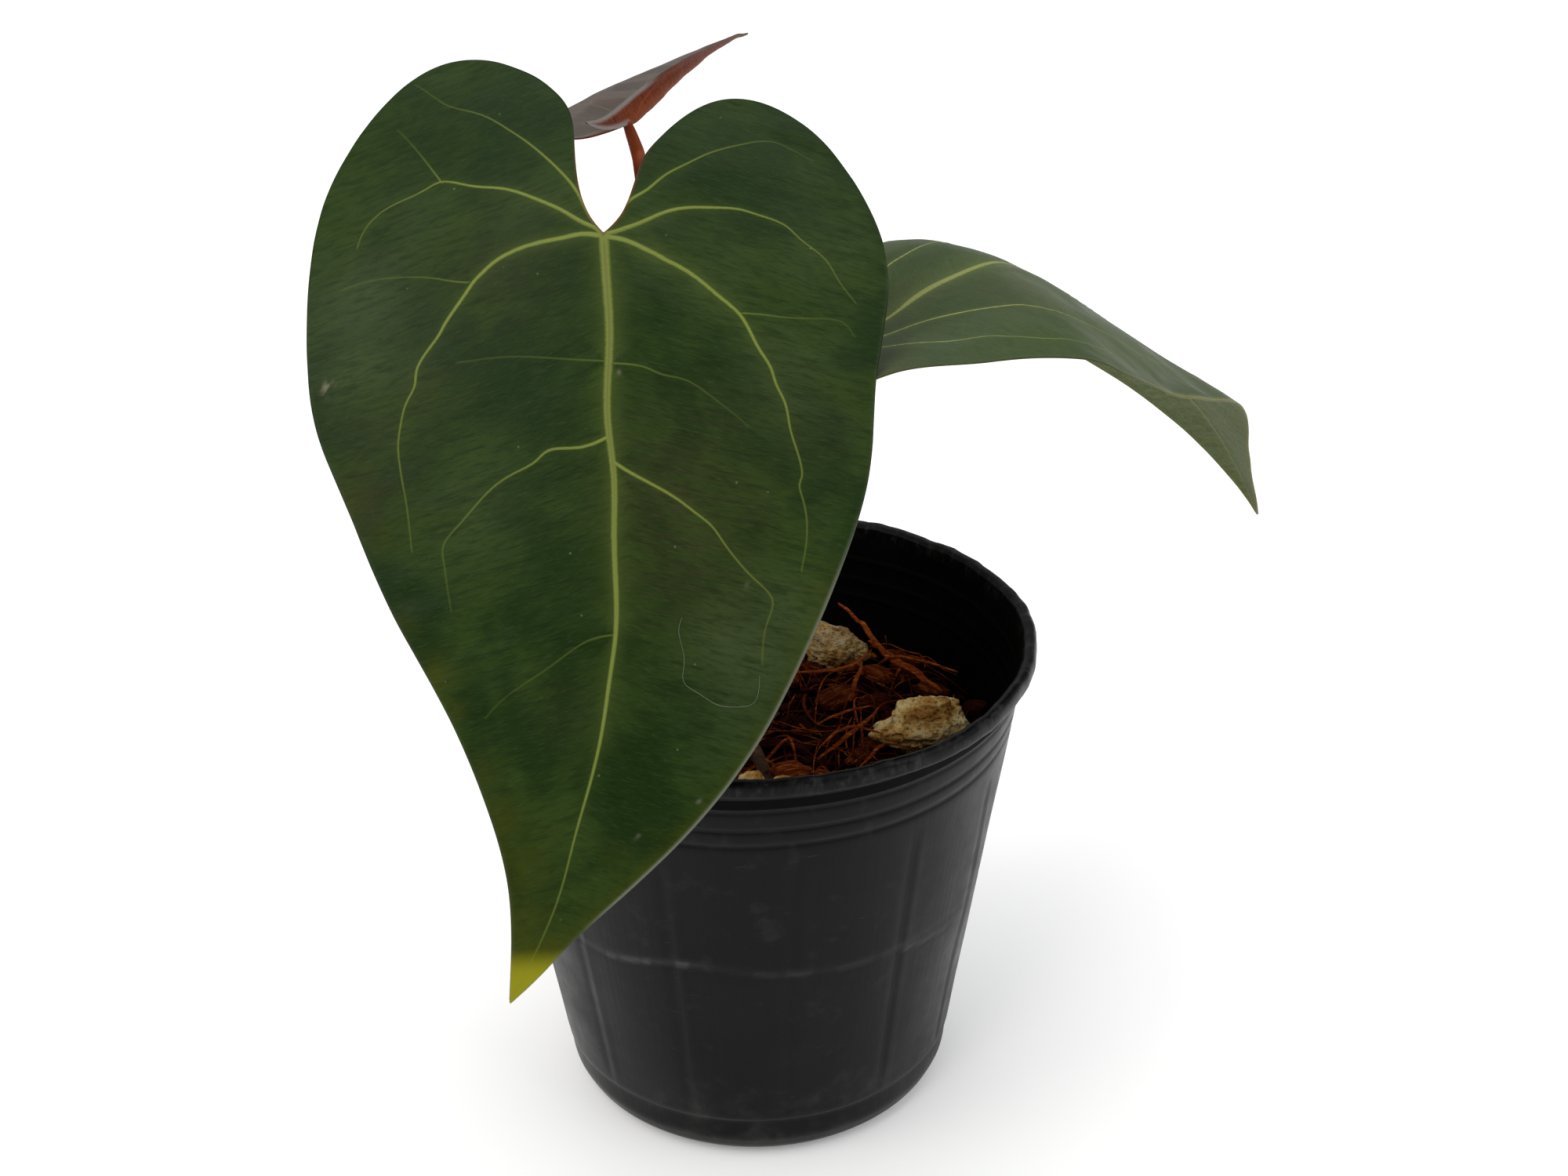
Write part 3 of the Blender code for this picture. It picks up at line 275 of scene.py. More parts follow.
# ---- meshes -------------------------------------------------------------------
def mesh_of(name, points, polygons, materials, which=None, weld=None, **values):
    """Object from points in mm and arrays of polygons. values are per-point numbers or vectors kept as attributes."""
    points = np.asarray(points, float)
    groups = [np.asarray(p, np.int64) for p in (polygons if isinstance(polygons, (list, tuple)) else [polygons])]
    slots = [np.zeros(len(g), np.int32) if which is None else np.asarray(w, np.int32) for g, w in zip(groups, which or groups)]
    if weld:
        _, first, index = np.unique(np.round(points / weld).astype(np.int64), axis=0, return_index=True, return_inverse=True)
        index = index.reshape(-1)
        points = points[first]
        values = {k: np.asarray(v)[first] for k, v in values.items()}
        loose, loose_slots = [], []
        for g, s in zip(groups, slots):
            g = index[g]
            if g.shape[1] == 4:
                same = [g[:, k] == g[:, (k + 1) % 4] for k in range(4)]
                count = sum(x.astype(int) for x in same)
                loose.append(g[count == 0])
                loose_slots.append(s[count == 0])
                for k in range(4):
                    pick = (count == 1) & same[k]
                    keep = [j for j in range(4) if j != (k + 1) % 4]
                    loose.append(g[pick][:, keep])
                    loose_slots.append(s[pick])
            else:
                whole = (g[:, 0] != g[:, 1]) & (g[:, 1] != g[:, 2]) & (g[:, 0] != g[:, 2])
                loose.append(g[whole])
                loose_slots.append(s[whole])
        groups, slots = loose, loose_slots
    mesh = bpy.data.meshes.new(name)
    mesh.vertices.add(len(points))
    mesh.vertices.foreach_set("co", (points * MM).astype(np.float32).ravel())
    sizes = np.concatenate([np.full(len(g), g.shape[1]) for g in groups if len(g)])
    corners = np.concatenate([g.ravel() for g in groups if len(g)])
    mesh.loops.add(len(corners))
    mesh.loops.foreach_set("vertex_index", corners.astype(np.int32))
    mesh.polygons.add(len(sizes))
    mesh.polygons.foreach_set("loop_start", np.concatenate([[0], np.cumsum(sizes)[:-1]]).astype(np.int32))
    mesh.polygons.foreach_set("material_index", np.concatenate([s for s in slots if len(s)]).astype(np.int32))
    mesh.update(calc_edges=True)
    mesh.validate()
    mesh.shade_smooth()
    for key, value in values.items():
        value = np.asarray(value, np.float32)
        if value.ndim == 1:
            mesh.attributes.new(key, "FLOAT", "POINT").data.foreach_set("value", value)
        else:
            mesh.attributes.new(key, "FLOAT_VECTOR", "POINT").data.foreach_set("vector", value.ravel())
    for material in materials:
        mesh.materials.append(material)
    made = bpy.data.objects.new(name, mesh)
    bpy.context.scene.collection.objects.link(made)
    return made


def place(piece, slot, *nodes):
    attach(piece, "root")
    if nodes:
        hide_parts(*nodes)
    return piece


def grid_faces(high, wide, wrap=False):
    i, j = np.meshgrid(np.arange(high - 1), np.arange(wide if wrap else wide - 1), indexing="ij")
    k = (j + 1) % wide
    return np.stack([i * wide + j, i * wide + k, (i + 1) * wide + k, (i + 1) * wide + j], -1).reshape(-1, 4)


class Pile:
    """Gathers many small closed shapes into one mesh."""

    def __init__(self):
        self.points, self.quads, self.values, self.count = [], [], {}, 0

    def add(self, points, quads, **values):
        self.points.append(points)
        self.quads.append(quads + self.count)
        for key, value in values.items():
            value = np.asarray(value, float)
            self.values.setdefault(key, []).append(np.broadcast_to(value, (len(points),) + value.shape[1:] if value.ndim > 1 else (len(points),)))
        self.count += len(points)

    def make(self, name, materials, weld=None):
        return mesh_of(name, np.concatenate(self.points), [np.concatenate(self.quads)], materials, weld=weld,
                       **{k: np.concatenate(v) for k, v in self.values.items()})


def tube(path, radii, sides, flat=1.0, ripple=None):
    """Points and quads of a closed round tube along a path; its ends are domed."""
    path = np.asarray(path, float)
    n = len(path)
    radii = np.interp(np.linspace(0, 1, n), np.linspace(0, 1, len(radii)), radii)
    along = np.gradient(path, axis=0)
    along /= np.linalg.norm(along, axis=1)[:, None]
    side = np.cross(along[0], [0.0, 0.0, 1.0])
    if np.linalg.norm(side) < 0.1:
        side = np.cross(along[0], [1.0, 0.0, 0.0])
    frames = []
    for t in along:
        side = side - t * (side @ t)
        side /= np.linalg.norm(side)
        frames.append((side, np.cross(t, side)))
    a = np.array([f[0] for f in frames])
    b = np.array([f[1] for f in frames])
    dome = [(0.0, -0.85), (0.55, -0.72), (0.87, -0.4)]
    centres = np.concatenate([[path[0] + along[0] * radii[0] * d for _, d in dome], path, [path[-1] - along[-1] * radii[-1] * d for _, d in reversed(dome)]])
    rows = np.concatenate([[radii[0] * s for s, _ in dome], radii, [radii[-1] * s for s, _ in reversed(dome)]])
    a = np.concatenate([np.repeat(a[:1], 3, 0), a, np.repeat(a[-1:], 3, 0)])
    b = np.concatenate([np.repeat(b[:1], 3, 0), b, np.repeat(b[-1:], 3, 0)])
    turn = np.linspace(0, 2 * np.pi, sides, endpoint=False)
    size = np.ones((n + 6, sides)) if ripple is None else ripple(np.linspace(0, 1, n + 6)[:, None], turn[None, :])
    points = centres[:, None] + (rows[:, None] * size)[..., None] * (np.cos(turn)[None, :, None] * a[:, None] + flat * np.sin(turn)[None, :, None] * b[:, None])
    return points.reshape(-1, 3), grid_faces(n + 6, sides, wrap=True)


# ---- materials ----------------------------------------------------------------
class Graph:
    """A Principled material and short names for the nodes that feed it."""

    def __init__(self, name, **constants):
        self.material = bpy.data.materials.new(name)
        self.material.use_nodes = True
        self.tree = self.material.node_tree
        self.shader = self.tree.nodes["Principled BSDF"]
        for key, value in constants.items():
            self.shader.inputs[key.replace("_", " ")].default_value = value

    def node(self, kind, settings=None, **inputs):
        made = self.tree.nodes.new(kind)
        for key, value in (settings or {}).items():
            setattr(made, key, value)
        for key, value in inputs.items():
            self.feed(made.inputs[int(key[1:]) if key[0] == "i" and key[1:].isdigit() else key.replace("_", " ")], value)
        return made

    def feed(self, socket, value):
        if isinstance(value, bpy.types.NodeSocket):
            self.tree.links.new(value, socket)
        elif isinstance(value, (tuple, list)) and len(value) == 3 and socket.type == "RGBA":
            socket.default_value = (*value, 1)
        else:
            socket.default_value = value

    def attr(self, name, vector=False):
        return self.node("ShaderNodeAttribute", {"attribute_name": name}).outputs["Vector" if vector else "Fac"]

    def place(self):
        return self.node("ShaderNodeTexCoord").outputs["Object"]

    def split(self, vector):
        return self.node("ShaderNodeSeparateXYZ", Vector=vector).outputs

    def stretch(self, vector, x, y, z):
        return self.node("ShaderNodeMapping", Vector=vector, Scale=(x, y, z)).outputs[0]

    def noise(self, vector, scale, detail=3.0, rough=0.55, warp=0.0):
        return self.node("ShaderNodeTexNoise", Vector=vector, Scale=scale, Detail=detail, Roughness=rough, Distortion=warp).outputs["Fac"]

    def cells(self, vector, scale, feature="F1", result="Distance"):
        return self.node("ShaderNodeTexVoronoi", {"feature": feature}, Vector=vector, Scale=scale).outputs[result]

    def math(self, op, a, b=0.0, clamp=False):
        return self.node("ShaderNodeMath", {"operation": op, "use_clamp": clamp}, i0=a, i1=b).outputs[0]

    def times(self, *values):
        result = values[0]
        for value in values[1:]:
            result = self.math("MULTIPLY", result, value)
        return result

    def range(self, value, low, high, to_low=0.0, to_high=1.0, smooth=True):
        return self.node("ShaderNodeMapRange", {"interpolation_type": "SMOOTHSTEP" if smooth else "LINEAR"},
                         Value=value, From_Min=low, From_Max=high, To_Min=to_low, To_Max=to_high).outputs[0]

    def mix(self, factor, a, b, blend="MIX"):
        made = self.tree.nodes.new("ShaderNodeMix")
        made.data_type, made.blend_type = "RGBA", blend
        self.feed(made.inputs[0], factor)
        self.feed(made.inputs[6], a)
        self.feed(made.inputs[7], b)
        return made.outputs[2]

    def ramp(self, value, *stops):
        made = self.node("ShaderNodeValToRGB", Fac=value)
        elements = made.color_ramp.elements
        while len(elements) < len(stops):
            elements.new(0.5)
        for element, (at, colour) in zip(elements, stops):
            element.position = at
            element.color = (*colour, 1)
        return made.outputs[0]

    def bump(self, height, strength, distance_mm, normal=None):
        made = self.node("ShaderNodeBump", Height=height, Strength=strength, Distance=distance_mm * MM)
        if normal is not None:
            self.feed(made.inputs["Normal"], normal)
        return made.outputs[0]

    def done(self, **inputs):
        for key, value in inputs.items():
            self.feed(self.shader.inputs[key.replace("_", " ")], value)
        return self.material


def vein_line(g, ragged, wider=1.0):
    """How much of a vein shows here, and the distance from the middle of the widest one over its half-width."""
    shown, ratios = [], []
    for layer in VEIN_LAYERS:
        gap, wide = g.math("ABSOLUTE", g.attr("vein" + layer)), g.times(g.attr("vein_wide" + layer), wider)
        seen = g.math("MAXIMUM", wide, 0.17)
        ratio = g.math("DIVIDE", gap, seen)
        rough = g.math("ADD", ratio, g.times(g.math("SUBTRACT", ragged, 0.5), 0.7))
        near = g.range(g.math("SUBTRACT", g.attr("vein_gap" + layer), wide), 0.52, 0.30)
        faint = g.range(wide, 0.03, 0.30, 0.12, 1.0)
        shown.append(g.times(g.range(rough, 1.55, 0.40), near, faint))
        ratios.append(ratio)
    return g.math("MAXIMUM", shown[0], g.math("MAXIMUM", shown[1], shown[2])), ratios[0]


# grey_and_sheen is the grey of the painted sheen, also used in the fine streaks; rim is the colour of the painted
# highlight along the margin.
def leaf_top(name, deep, mid, grey_and_sheen, brown, yellow, vein, rib, red, streak=0.28, rough=(0.40, 0.54), specular=0.17, rim=(0.15, 0.16, 0.12)):
    g = Graph(name, Specular_IOR_Level=specular)
    at = g.attr("leaf_mm", True)
    streaks = g.noise(g.stretch(at, 0.16, 0.14, 0.95), 1.0, 4, 0.6)
    fine = g.noise(g.stretch(at, 0.5, 0.5, 3.6), 1.0, 3, 0.6)
    clouds = g.noise(g.stretch(at, 0.055, 0.055, 0.0), 1.0, 3, 0.5, 0.6)
    pores = g.noise(g.stretch(at, 3.2, 3.2, 0.0), 1.0, 2, 0.6)
    cells = g.cells(g.stretch(at, 1.1, 1.1, 0.0), 1.0, "DISTANCE_TO_EDGE")
    colour = g.mix(g.range(clouds, 0.36, 0.64), deep, mid)
    # painted sheen: where grey_and_sheen is set the colour turns grey, standing in for the gloss of the velvet
    colour = g.mix(g.times(g.attr("grey_and_sheen"), 0.85), colour, grey_and_sheen)
    colour = g.mix(g.times(g.attr("deep"), 0.75), colour, deep)
    colour = g.mix(g.times(g.attr("brown"), 0.8, g.range(streaks, 0.25, 0.6)), colour, brown)
    colour = g.mix(g.times(g.range(streaks, 0.42, 0.72), streak), colour, tuple(c * 0.62 for c in deep), "MIX")
    colour = g.mix(g.times(g.range(fine, 0.50, 0.78), 0.34), colour, grey_and_sheen)
    colour = g.mix(g.times(g.range(fine, 0.48, 0.30), 0.45), colour, tuple(c * 0.5 for c in deep))
    colour = g.mix(g.times(g.range(pores, 0.60, 0.75), 0.22), colour, mid)
    patchy = g.range(g.noise(g.stretch(at, 0.35, 0.35, 0.0), 1.0, 4, 0.65), 0.12, 0.62)
    colour = g.mix(g.times(g.range(g.attr("yellow"), 0.0, 0.8), patchy), colour, yellow)
    colour = g.mix(g.range(g.attr("yellow"), 0.55, 1.0), colour, tuple(min(c, 0.30) for c in (5.6 * yellow[0], 4.8 * yellow[1], 18 * yellow[2])))
    colour = g.mix(g.times(g.attr("halo"), 0.34), colour, tuple(0.45 * v + 0.55 * m for v, m in zip(vein, mid)))
    line, ratio = vein_line(g, fine)
    colour = g.mix(line, colour, vein)
    colour = g.mix(g.times(g.range(ratio, 0.75, 0.15), g.attr("ribbed")), colour, rib)
    # painted highlight: a pale line along the margin where the edge catches the light
    colour = g.mix(g.times(g.attr("edge_highlight"), 0.85), colour, rim)
    colour = g.mix(g.attr("red"), colour, red)
    specks = g.range(g.cells(g.stretch(at, 0.16, 0.16, 0.0), 1.0), 0.045, 0.02)
    colour = g.mix(g.times(specks, 0.45), colour, (0.16, 0.17, 0.09))
    colour = g.mix(g.attr("scar"), colour, (0.17, 0.16, 0.10))
    gloss = g.math("ADD", g.range(clouds, 0.3, 0.7, rough[0], rough[1]), g.times(g.math("SUBTRACT", fine, 0.5), 0.16))
    gloss = g.math("SUBTRACT", gloss, g.times(g.attr("grey_and_sheen"), 0.07))
    relief = g.math("ADD", g.times(fine, 0.5), g.math("ADD", g.times(streaks, 0.9), g.times(pores, 0.22)))
    relief = g.math("ADD", relief, g.times(g.range(cells, 0.0, 0.12), 0.30))
    return g.done(Base_Color=colour, Roughness=gloss, Normal=g.bump(relief, 0.42, 0.16))


def leaf_under(name, pale, mid, vein, rough=0.62, rim=None):
    g = Graph(name, Specular_IOR_Level=0.16 if rim is None else 0.07)
    at = g.attr("leaf_mm", True)
    streaks = g.noise(g.stretch(at, 0.12, 0.12, 0.9), 1.0, 4, 0.6)
    pores = g.noise(g.stretch(at, 2.4, 2.4, 0.0), 1.0, 3, 0.6)
    net = g.cells(g.stretch(at, 0.55, 0.55, 0.0), 1.0, "DISTANCE_TO_EDGE")
    colour = g.mix(g.range(streaks, 0.35, 0.65), pale, mid)
    colour = g.mix(g.times(g.range(net, 0.09, 0.0), 0.35), colour, vein)
    colour = g.mix(g.times(g.range(pores, 0.5, 0.8), 0.3), colour, tuple(c * 0.7 for c in mid))
    colour = g.mix(g.times(g.attr("halo"), 0.4), colour, vein)
    colour = g.mix(vein_line(g, pores, 1.7)[0], colour, vein)
    colour = g.mix(g.times(g.attr("yellow"), 0.6), colour, (0.17, 0.16, 0.035))
    # painted highlight along the margin, in the rim colour
    if rim is not None:
        colour = g.mix(g.attr("edge_highlight"), colour, rim)
    height = g.math("ADD", g.times(g.range(net, 0.12, 0.0), 0.8), g.times(pores, 0.4))
    return g.done(Base_Color=colour, Roughness=g.range(pores, 0.3, 0.7, rough - 0.06, rough + 0.08), Normal=g.bump(height, 0.4, 0.15))


def stalk_material(name, low, high, fleck, joint, specular=0.22):
    """Stalk skin: ribbed lengthways, flecked, darker at its foot and at the joint below the blade."""
    g = Graph(name, Specular_IOR_Level=specular)
    at = g.attr("stalk_mm", True)
    length = g.attr("along")
    lines = g.noise(g.stretch(at, 2.4, 2.4, 0.06), 1.0, 4, 0.6)
    flecks = g.noise(g.stretch(at, 2.2, 2.2, 0.7), 1.0, 3, 0.6)
    colour = g.mix(length, low, high)
    colour = g.mix(g.times(g.range(lines, 0.40, 0.66), 0.55), colour, tuple(c * 0.55 for c in low))
    colour = g.mix(g.times(g.range(flecks, 0.60, 0.72), 0.6), colour, fleck)
    colour = g.mix(g.attr("joint"), colour, joint)
    rings = g.noise(g.stretch(at, 0.2, 0.2, 2.6), 1.0, 3, 0.6)
    height = g.math("ADD", lines, g.times(rings, g.attr("joint"), 1.4))
    return g.done(Base_Color=colour, Roughness=g.range(flecks, 0.3, 0.7, 0.38, 0.55), Normal=g.bump(height, 0.5, 0.18))


def pot_material(within):
    g = Graph("pot_plastic_inner" if within else "pot_plastic_outer", Specular_IOR_Level=0.04 if within else 0.11)
    at = g.place()
    x, y, z = g.split(at)
    turn = g.math("ARCTAN2", y, x)
    ring = g.node("ShaderNodeCombineXYZ", X=g.times(g.math("COSINE", turn), 0.05), Y=g.times(g.math("SINE", turn), 0.05), Z=g.times(z, 0.02)).outputs[0]
    upright = g.noise(ring, 900.0, 4, 0.6)
    dust = g.noise(at, 160.0, 5, 0.62)
    grain = g.noise(at, 2600.0, 2, 0.5)
    cloud = g.noise(at, 34.0, 4, 0.6, 0.4)
    scuffs = g.noise(g.stretch(at, 1.0, 1.0, 7.0), 120.0, 3, 0.7, 0.5)
    low, high = ((0.0010, 0.0010, 0.0010), (0.0022, 0.0021, 0.0021)) if within else ((0.0006, 0.0006, 0.0010), (0.0026, 0.0025, 0.0034))
    colour = g.mix(g.range(cloud, 0.35, 0.7), low, high)
    share = 0.12 if within else 1.0
    colour = g.mix(g.times(g.range(dust, 0.54, 0.74), 0.30 * share), colour, (0.026, 0.025, 0.024))
    colour = g.mix(g.times(g.range(scuffs, 0.66, 0.74), 0.30 * share), colour, (0.040, 0.039, 0.037))
    colour = g.mix(g.times(g.attr("scratch"), 0.7 * share), colour, (0.070, 0.068, 0.066))
    colour = g.mix(g.times(g.attr("dusty"), g.range(dust, 0.38, 0.7)), colour, (0.040, 0.037, 0.034))
    worn = g.noise(g.stretch(at, 1.0, 1.0, 0.5), 420.0, 3, 0.7)
    colour = g.mix(g.times(g.attr("rim"), g.range(worn, 0.45, 0.75), 0.45), colour, (0.048, 0.047, 0.045))
    gloss = g.math("ADD", g.range(cloud, 0.3, 0.7, 0.33, 0.43), g.times(g.math("SUBTRACT", dust, 0.5), 0.30))
    gloss = g.math("ADD", gloss, 0.28 if within else 0.0)
    gloss = g.math("ADD", gloss, g.times(g.attr("scratch"), 0.2))
    height = g.math("ADD", g.times(upright, 0.7), g.math("ADD", g.times(grain, 0.12), g.times(cloud, 0.8)))
    return g.done(Base_Color=colour, Roughness=gloss, Normal=g.bump(height, 0.35, 0.22))


def earthy(name, dark, mid, light, scale, stretch=(1, 1, 1), rough=0.9, bump=0.8, depth=0.35, specular=0.07, place=None):
    """Broken, fibrous matter in three tones; each piece carries its own tone and direction."""
    g = Graph(name, Specular_IOR_Level=specular)
    at = g.attr(place, True) if place else g.place()
    unit = scale if place else scale * 1000.0
    grain = g.noise(g.stretch(at, *stretch), unit, 5, 0.65, 0.3)
    blotch = g.noise(at, unit * 0.22, 4, 0.6, 0.4)
    tone = g.math("ADD", g.attr("tone"), g.times(g.math("SUBTRACT", blotch, 0.5), 0.9), True)
    colour = g.mix(tone, dark, mid)
    colour = g.mix(g.times(g.range(grain, 0.48, 0.72), g.range(tone, 0.2, 0.8)), colour, light)
    colour = g.mix(g.range(grain, 0.46, 0.30), colour, tuple(c * 0.35 for c in dark))
    return g.done(Base_Color=colour, Roughness=rough, Normal=g.bump(grain, bump, depth))


def pumice_material():
    g = Graph("pumice_cream", Specular_IOR_Level=0.06)
    at = g.place()
    blotch = g.noise(at, 200.0, 3, 0.55, 0.5)
    fine = g.noise(at, 1500.0, 4, 0.7)
    pits = g.cells(at, 900.0)
    pores = g.cells(at, 2300.0)
    colour = g.ramp(blotch, (0.30, (0.30, 0.120, 0.022)), (0.42, (0.60, 0.32, 0.090)), (0.54, (0.86, 0.60, 0.25)), (0.72, (0.92, 0.76, 0.46)))
    colour = g.mix(g.times(g.range(pits, 0.42, 0.16), 0.34), colour, (0.13, 0.070, 0.030))
    colour = g.mix(g.times(g.range(fine, 0.52, 0.72), 0.30), colour, (0.30, 0.155, 0.055))
    colour = g.mix(g.times(g.attr("stain"), 0.9), colour, (0.24, 0.075, 0.014))
    colour = g.mix(g.times(g.attr("dim"), 0.62), colour, (0.10, 0.055, 0.020))
    height = g.math("ADD", g.range(pits, 0.05, 0.45), g.math("ADD", g.times(g.range(pores, 0.05, 0.5), 0.5), g.times(fine, 0.5)))
    return g.done(Base_Color=colour, Roughness=0.93, Normal=g.bump(height, 0.9, 0.45))


def papery(name):
    g = Graph(name, Specular_IOR_Level=0.3, Transmission_Weight=0.0)
    at = g.attr("leaf_mm", True)
    lines = g.noise(g.stretch(at, 2.2, 0.12, 1.0), 1.0, 4, 0.6)
    blotch = g.noise(at, 0.35, 4, 0.6)
    colour = g.ramp(lines, (0.28, (0.12, 0.050, 0.020)), (0.50, (0.30, 0.165, 0.075)), (0.72, (0.46, 0.31, 0.17)))
    colour = g.mix(g.times(g.range(blotch, 0.5, 0.7), 0.6), colour, (0.10, 0.040, 0.018))
    return g.done(Base_Color=colour, Roughness=0.72, Normal=g.bump(lines, 0.8, 0.3))


# ---- blades -------------------------------------------------------------------
class Blade:
    """The bent surface of one leaf: at(u, v) gives points in mm."""

    def __init__(self, leaf):
        self.leaf = leaf
        step = 0.5
        self.v = np.arange(-55, 155 + step, step)
        along = self.directions(self.v[:-1] + step / 2)[0] * step
        line = np.concatenate([[[0, 0, 0]], np.cumsum(along, axis=0)])
        start = int(round(55 / step))
        self.line = line - line[start] + np.array(leaf["foot"])

    def directions(self, v):
        pitch = np.radians(smooth_table(self.leaf["pitch"], v))
        roll = np.radians(smooth_table(self.leaf["roll"], v))
        heading = np.radians(self.leaf["heading"]) + 0 * pitch
        along = np.stack([np.cos(pitch) * np.cos(heading), np.cos(pitch) * np.sin(heading), np.sin(pitch)], -1)
        flat = np.stack([np.sin(heading), -np.cos(heading), 0 * heading], -1)
        up = np.cross(flat, along)
        across = flat * np.cos(roll)[..., None] + up * np.sin(roll)[..., None]
        return along, across, up * np.cos(roll)[..., None] - flat * np.sin(roll)[..., None]

    def at(self, u, v):
        u, v = np.asarray(u, float), np.asarray(v, float)
        centre = np.stack([np.interp(v, self.v, self.line[:, k]) for k in range(3)], -1)
        _, across, up = self.directions(v)
        leaf = self.leaf
        droop = np.radians(np.where(u >= 0, smooth_table(leaf["droop_right"], v), smooth_table(leaf["droop_left"], v)))
        curl = np.radians(np.where(u >= 0, smooth_table(leaf["curl_right"], v), smooth_table(leaf["curl_left"], v))) / 40.0
        width = np.abs(u)
        straight = np.abs(curl) < 1e-6
        safe = np.where(straight, 1, curl)
        out = np.where(straight, width * np.cos(droop), (np.sin(droop + curl * width) - np.sin(droop)) / safe)
        rise = np.where(straight, -width * np.sin(droop), (np.cos(droop + curl * width) - np.cos(droop)) / safe)
        return centre + across * (np.sign(u) * out)[..., None] + up * rise[..., None]

    def normal(self, u, v):
        """Unit normal of the upper face, the crease at the midrib rounded off."""
        e = 1.2
        across = self.at(u + e, v) - self.at(u - e, v)
        along = self.at(u, v + e) - self.at(u, v - e)
        n = np.cross(across, along)
        return n / np.linalg.norm(n, axis=-1)[..., None]


def blade_rows(leaf, stations, columns):
    """(u, v) over the whole blade: one row for each station along the margins."""
    right, left = (spline(leaf[side], stations) for side in ("right", "left"))
    reach = (right[:, 1] + left[:, 1]) / 2
    foot = reach - 8 * (1 - reach / leaf["length"])
    foot = np.where(foot < 1.0, 0.0, foot)
    foot[-1] = leaf["length"]
    middle = np.stack([smooth_table(leaf["midrib"], foot), foot], 1)
    share = np.concatenate([-columns[::-1], columns[1:]])
    part = np.abs(share)[None, :, None]
    edge = np.where((share < 0)[None, :, None], right[:, None], left[:, None])
    rows = middle[:, None] * (1 - part) + edge * part
    # rows of the basal lobes bow away from the sinus, so that they stay on the blade
    for side, mask in ((right, share < 0), (left, share > 0)):
        lobe = np.where((side[:, 1] < -0.05) & (reach < 0))[0]
        ratio = np.abs(side[lobe, 0]) / -side[lobe, 1]
        ratio[side[lobe, 1] > -1.5] = 0.0 if side[lobe, 1].min() > -1.5 else ratio[side[lobe, 1] <= -1.5][0]
        turn = int(ratio.argmin())
        first = min(ratio[:turn + 1].max(), 1.2)
        wanted = first * (1 + 0.2 * np.minimum(np.arange(len(lobe)) / max(turn, 1), 3.0))
        bow = np.maximum(-wanted * side[lobe, 1] - np.abs(side[lobe, 0]), 0) * np.sign(side[lobe, 0])
        away = np.zeros(len(side))
        away[lobe] = bow
        rows[:, mask, 0] += away[:, None] * (np.abs(share) * (1 - np.abs(share)))[None, mask]
    return rows, share


# Veins that meet are kept in different layers.
VEIN_LAYERS = {"_a": ("midrib", "side_l", "side_r"), "_b": ("main_l", "main_r", "lobe_l", "lobe_r"),
               "_c": ("side_l2", "main_l2", "main_r2", "thin_l", "thin_r", "mid_l", "mid_r", "low_l", "low_r", "tip_l", "lobe_r2", "lobe_l2")}


def vein_fields(places, veins):
    """For each (u, v): distance over half-width of the nearest vein, plain distance, that vein's half-width,
    distance to the midrib, and the distance again with its side of the vein as sign."""
    side = np.full(len(places), 99.0)
    ratio = np.full(len(places), 9.0)
    gap = np.full(len(places), 99.0)
    width = np.zeros(len(places))
    rib = np.full(len(places), 99.0)
    for name, (start, end, points) in veins.items():
        line = spline(points, max(12, 4 * len(points)))
        wide = (start + (end - start) * np.linspace(0, 1, len(line)) ** 0.8) * (1.0 if name == "midrib" else 0.86)
        best, best_w = np.full(len(places), 99.0), np.full(len(places), start)
        low, high = line.min(0) - 8, line.max(0) + 8
        near = np.where(((places > low) & (places < high)).all(1))[0]
        if not len(near):
            continue
        p = places[near]
        b, w, sg = np.full(len(near), 99.0), np.full(len(near), start), np.ones(len(near))
        for k in range(len(line) - 1):
            d = line[k + 1] - line[k]
            t = np.clip(((p - line[k]) @ d) / max(d @ d, 1e-9), 0, 1)
            away = np.hypot(*(p - line[k] - t[:, None] * d).T)
            here = wide[k] + (wide[k + 1] - wide[k]) * t
            pick = away < b
            b[pick], w[pick] = away[pick], here[pick]
            sg[pick] = np.where((p[pick, 0] - line[k, 0]) * d[1] - (p[pick, 1] - line[k, 1]) * d[0] < 0, -1, 1)
        best[near], best_w[near] = b, w
        best_side = np.ones(len(places))
        best_side[near] = sg
        if name == "midrib":
            rib = best
        r = best / best_w
        ratio = np.minimum(ratio, r)
        closer = best - best_w < gap - width
        gap[closer], width[closer] = best[closer], best_w[closer]
        side[closer] = (best * best_side)[closer]
    return ratio, gap, width, rib, side


def blotches(places, table):
    total = np.zeros(len(places))
    for u, v, reach, amount in table:
        total = np.maximum(total, amount * np.exp(-((places[:, 0] - u) ** 2 + (places[:, 1] - v) ** 2) / reach**2 / 1.2))
    return total


def edge_distance(places, leaf):
    """Distance of each place from the blade's outline."""
    outline = np.concatenate([spline(leaf["right"], 800), spline(leaf["left"], 800)])
    best = np.full(len(places), 99.0)
    for start in range(0, len(places), 6000):
        part = places[start:start + 6000]
        gap = (part[:, :1] - outline[None, :, 0]) ** 2 + (part[:, 1:2] - outline[None, :, 1]) ** 2
        best[start:start + 6000] = np.sqrt(gap.min(1))
    return best


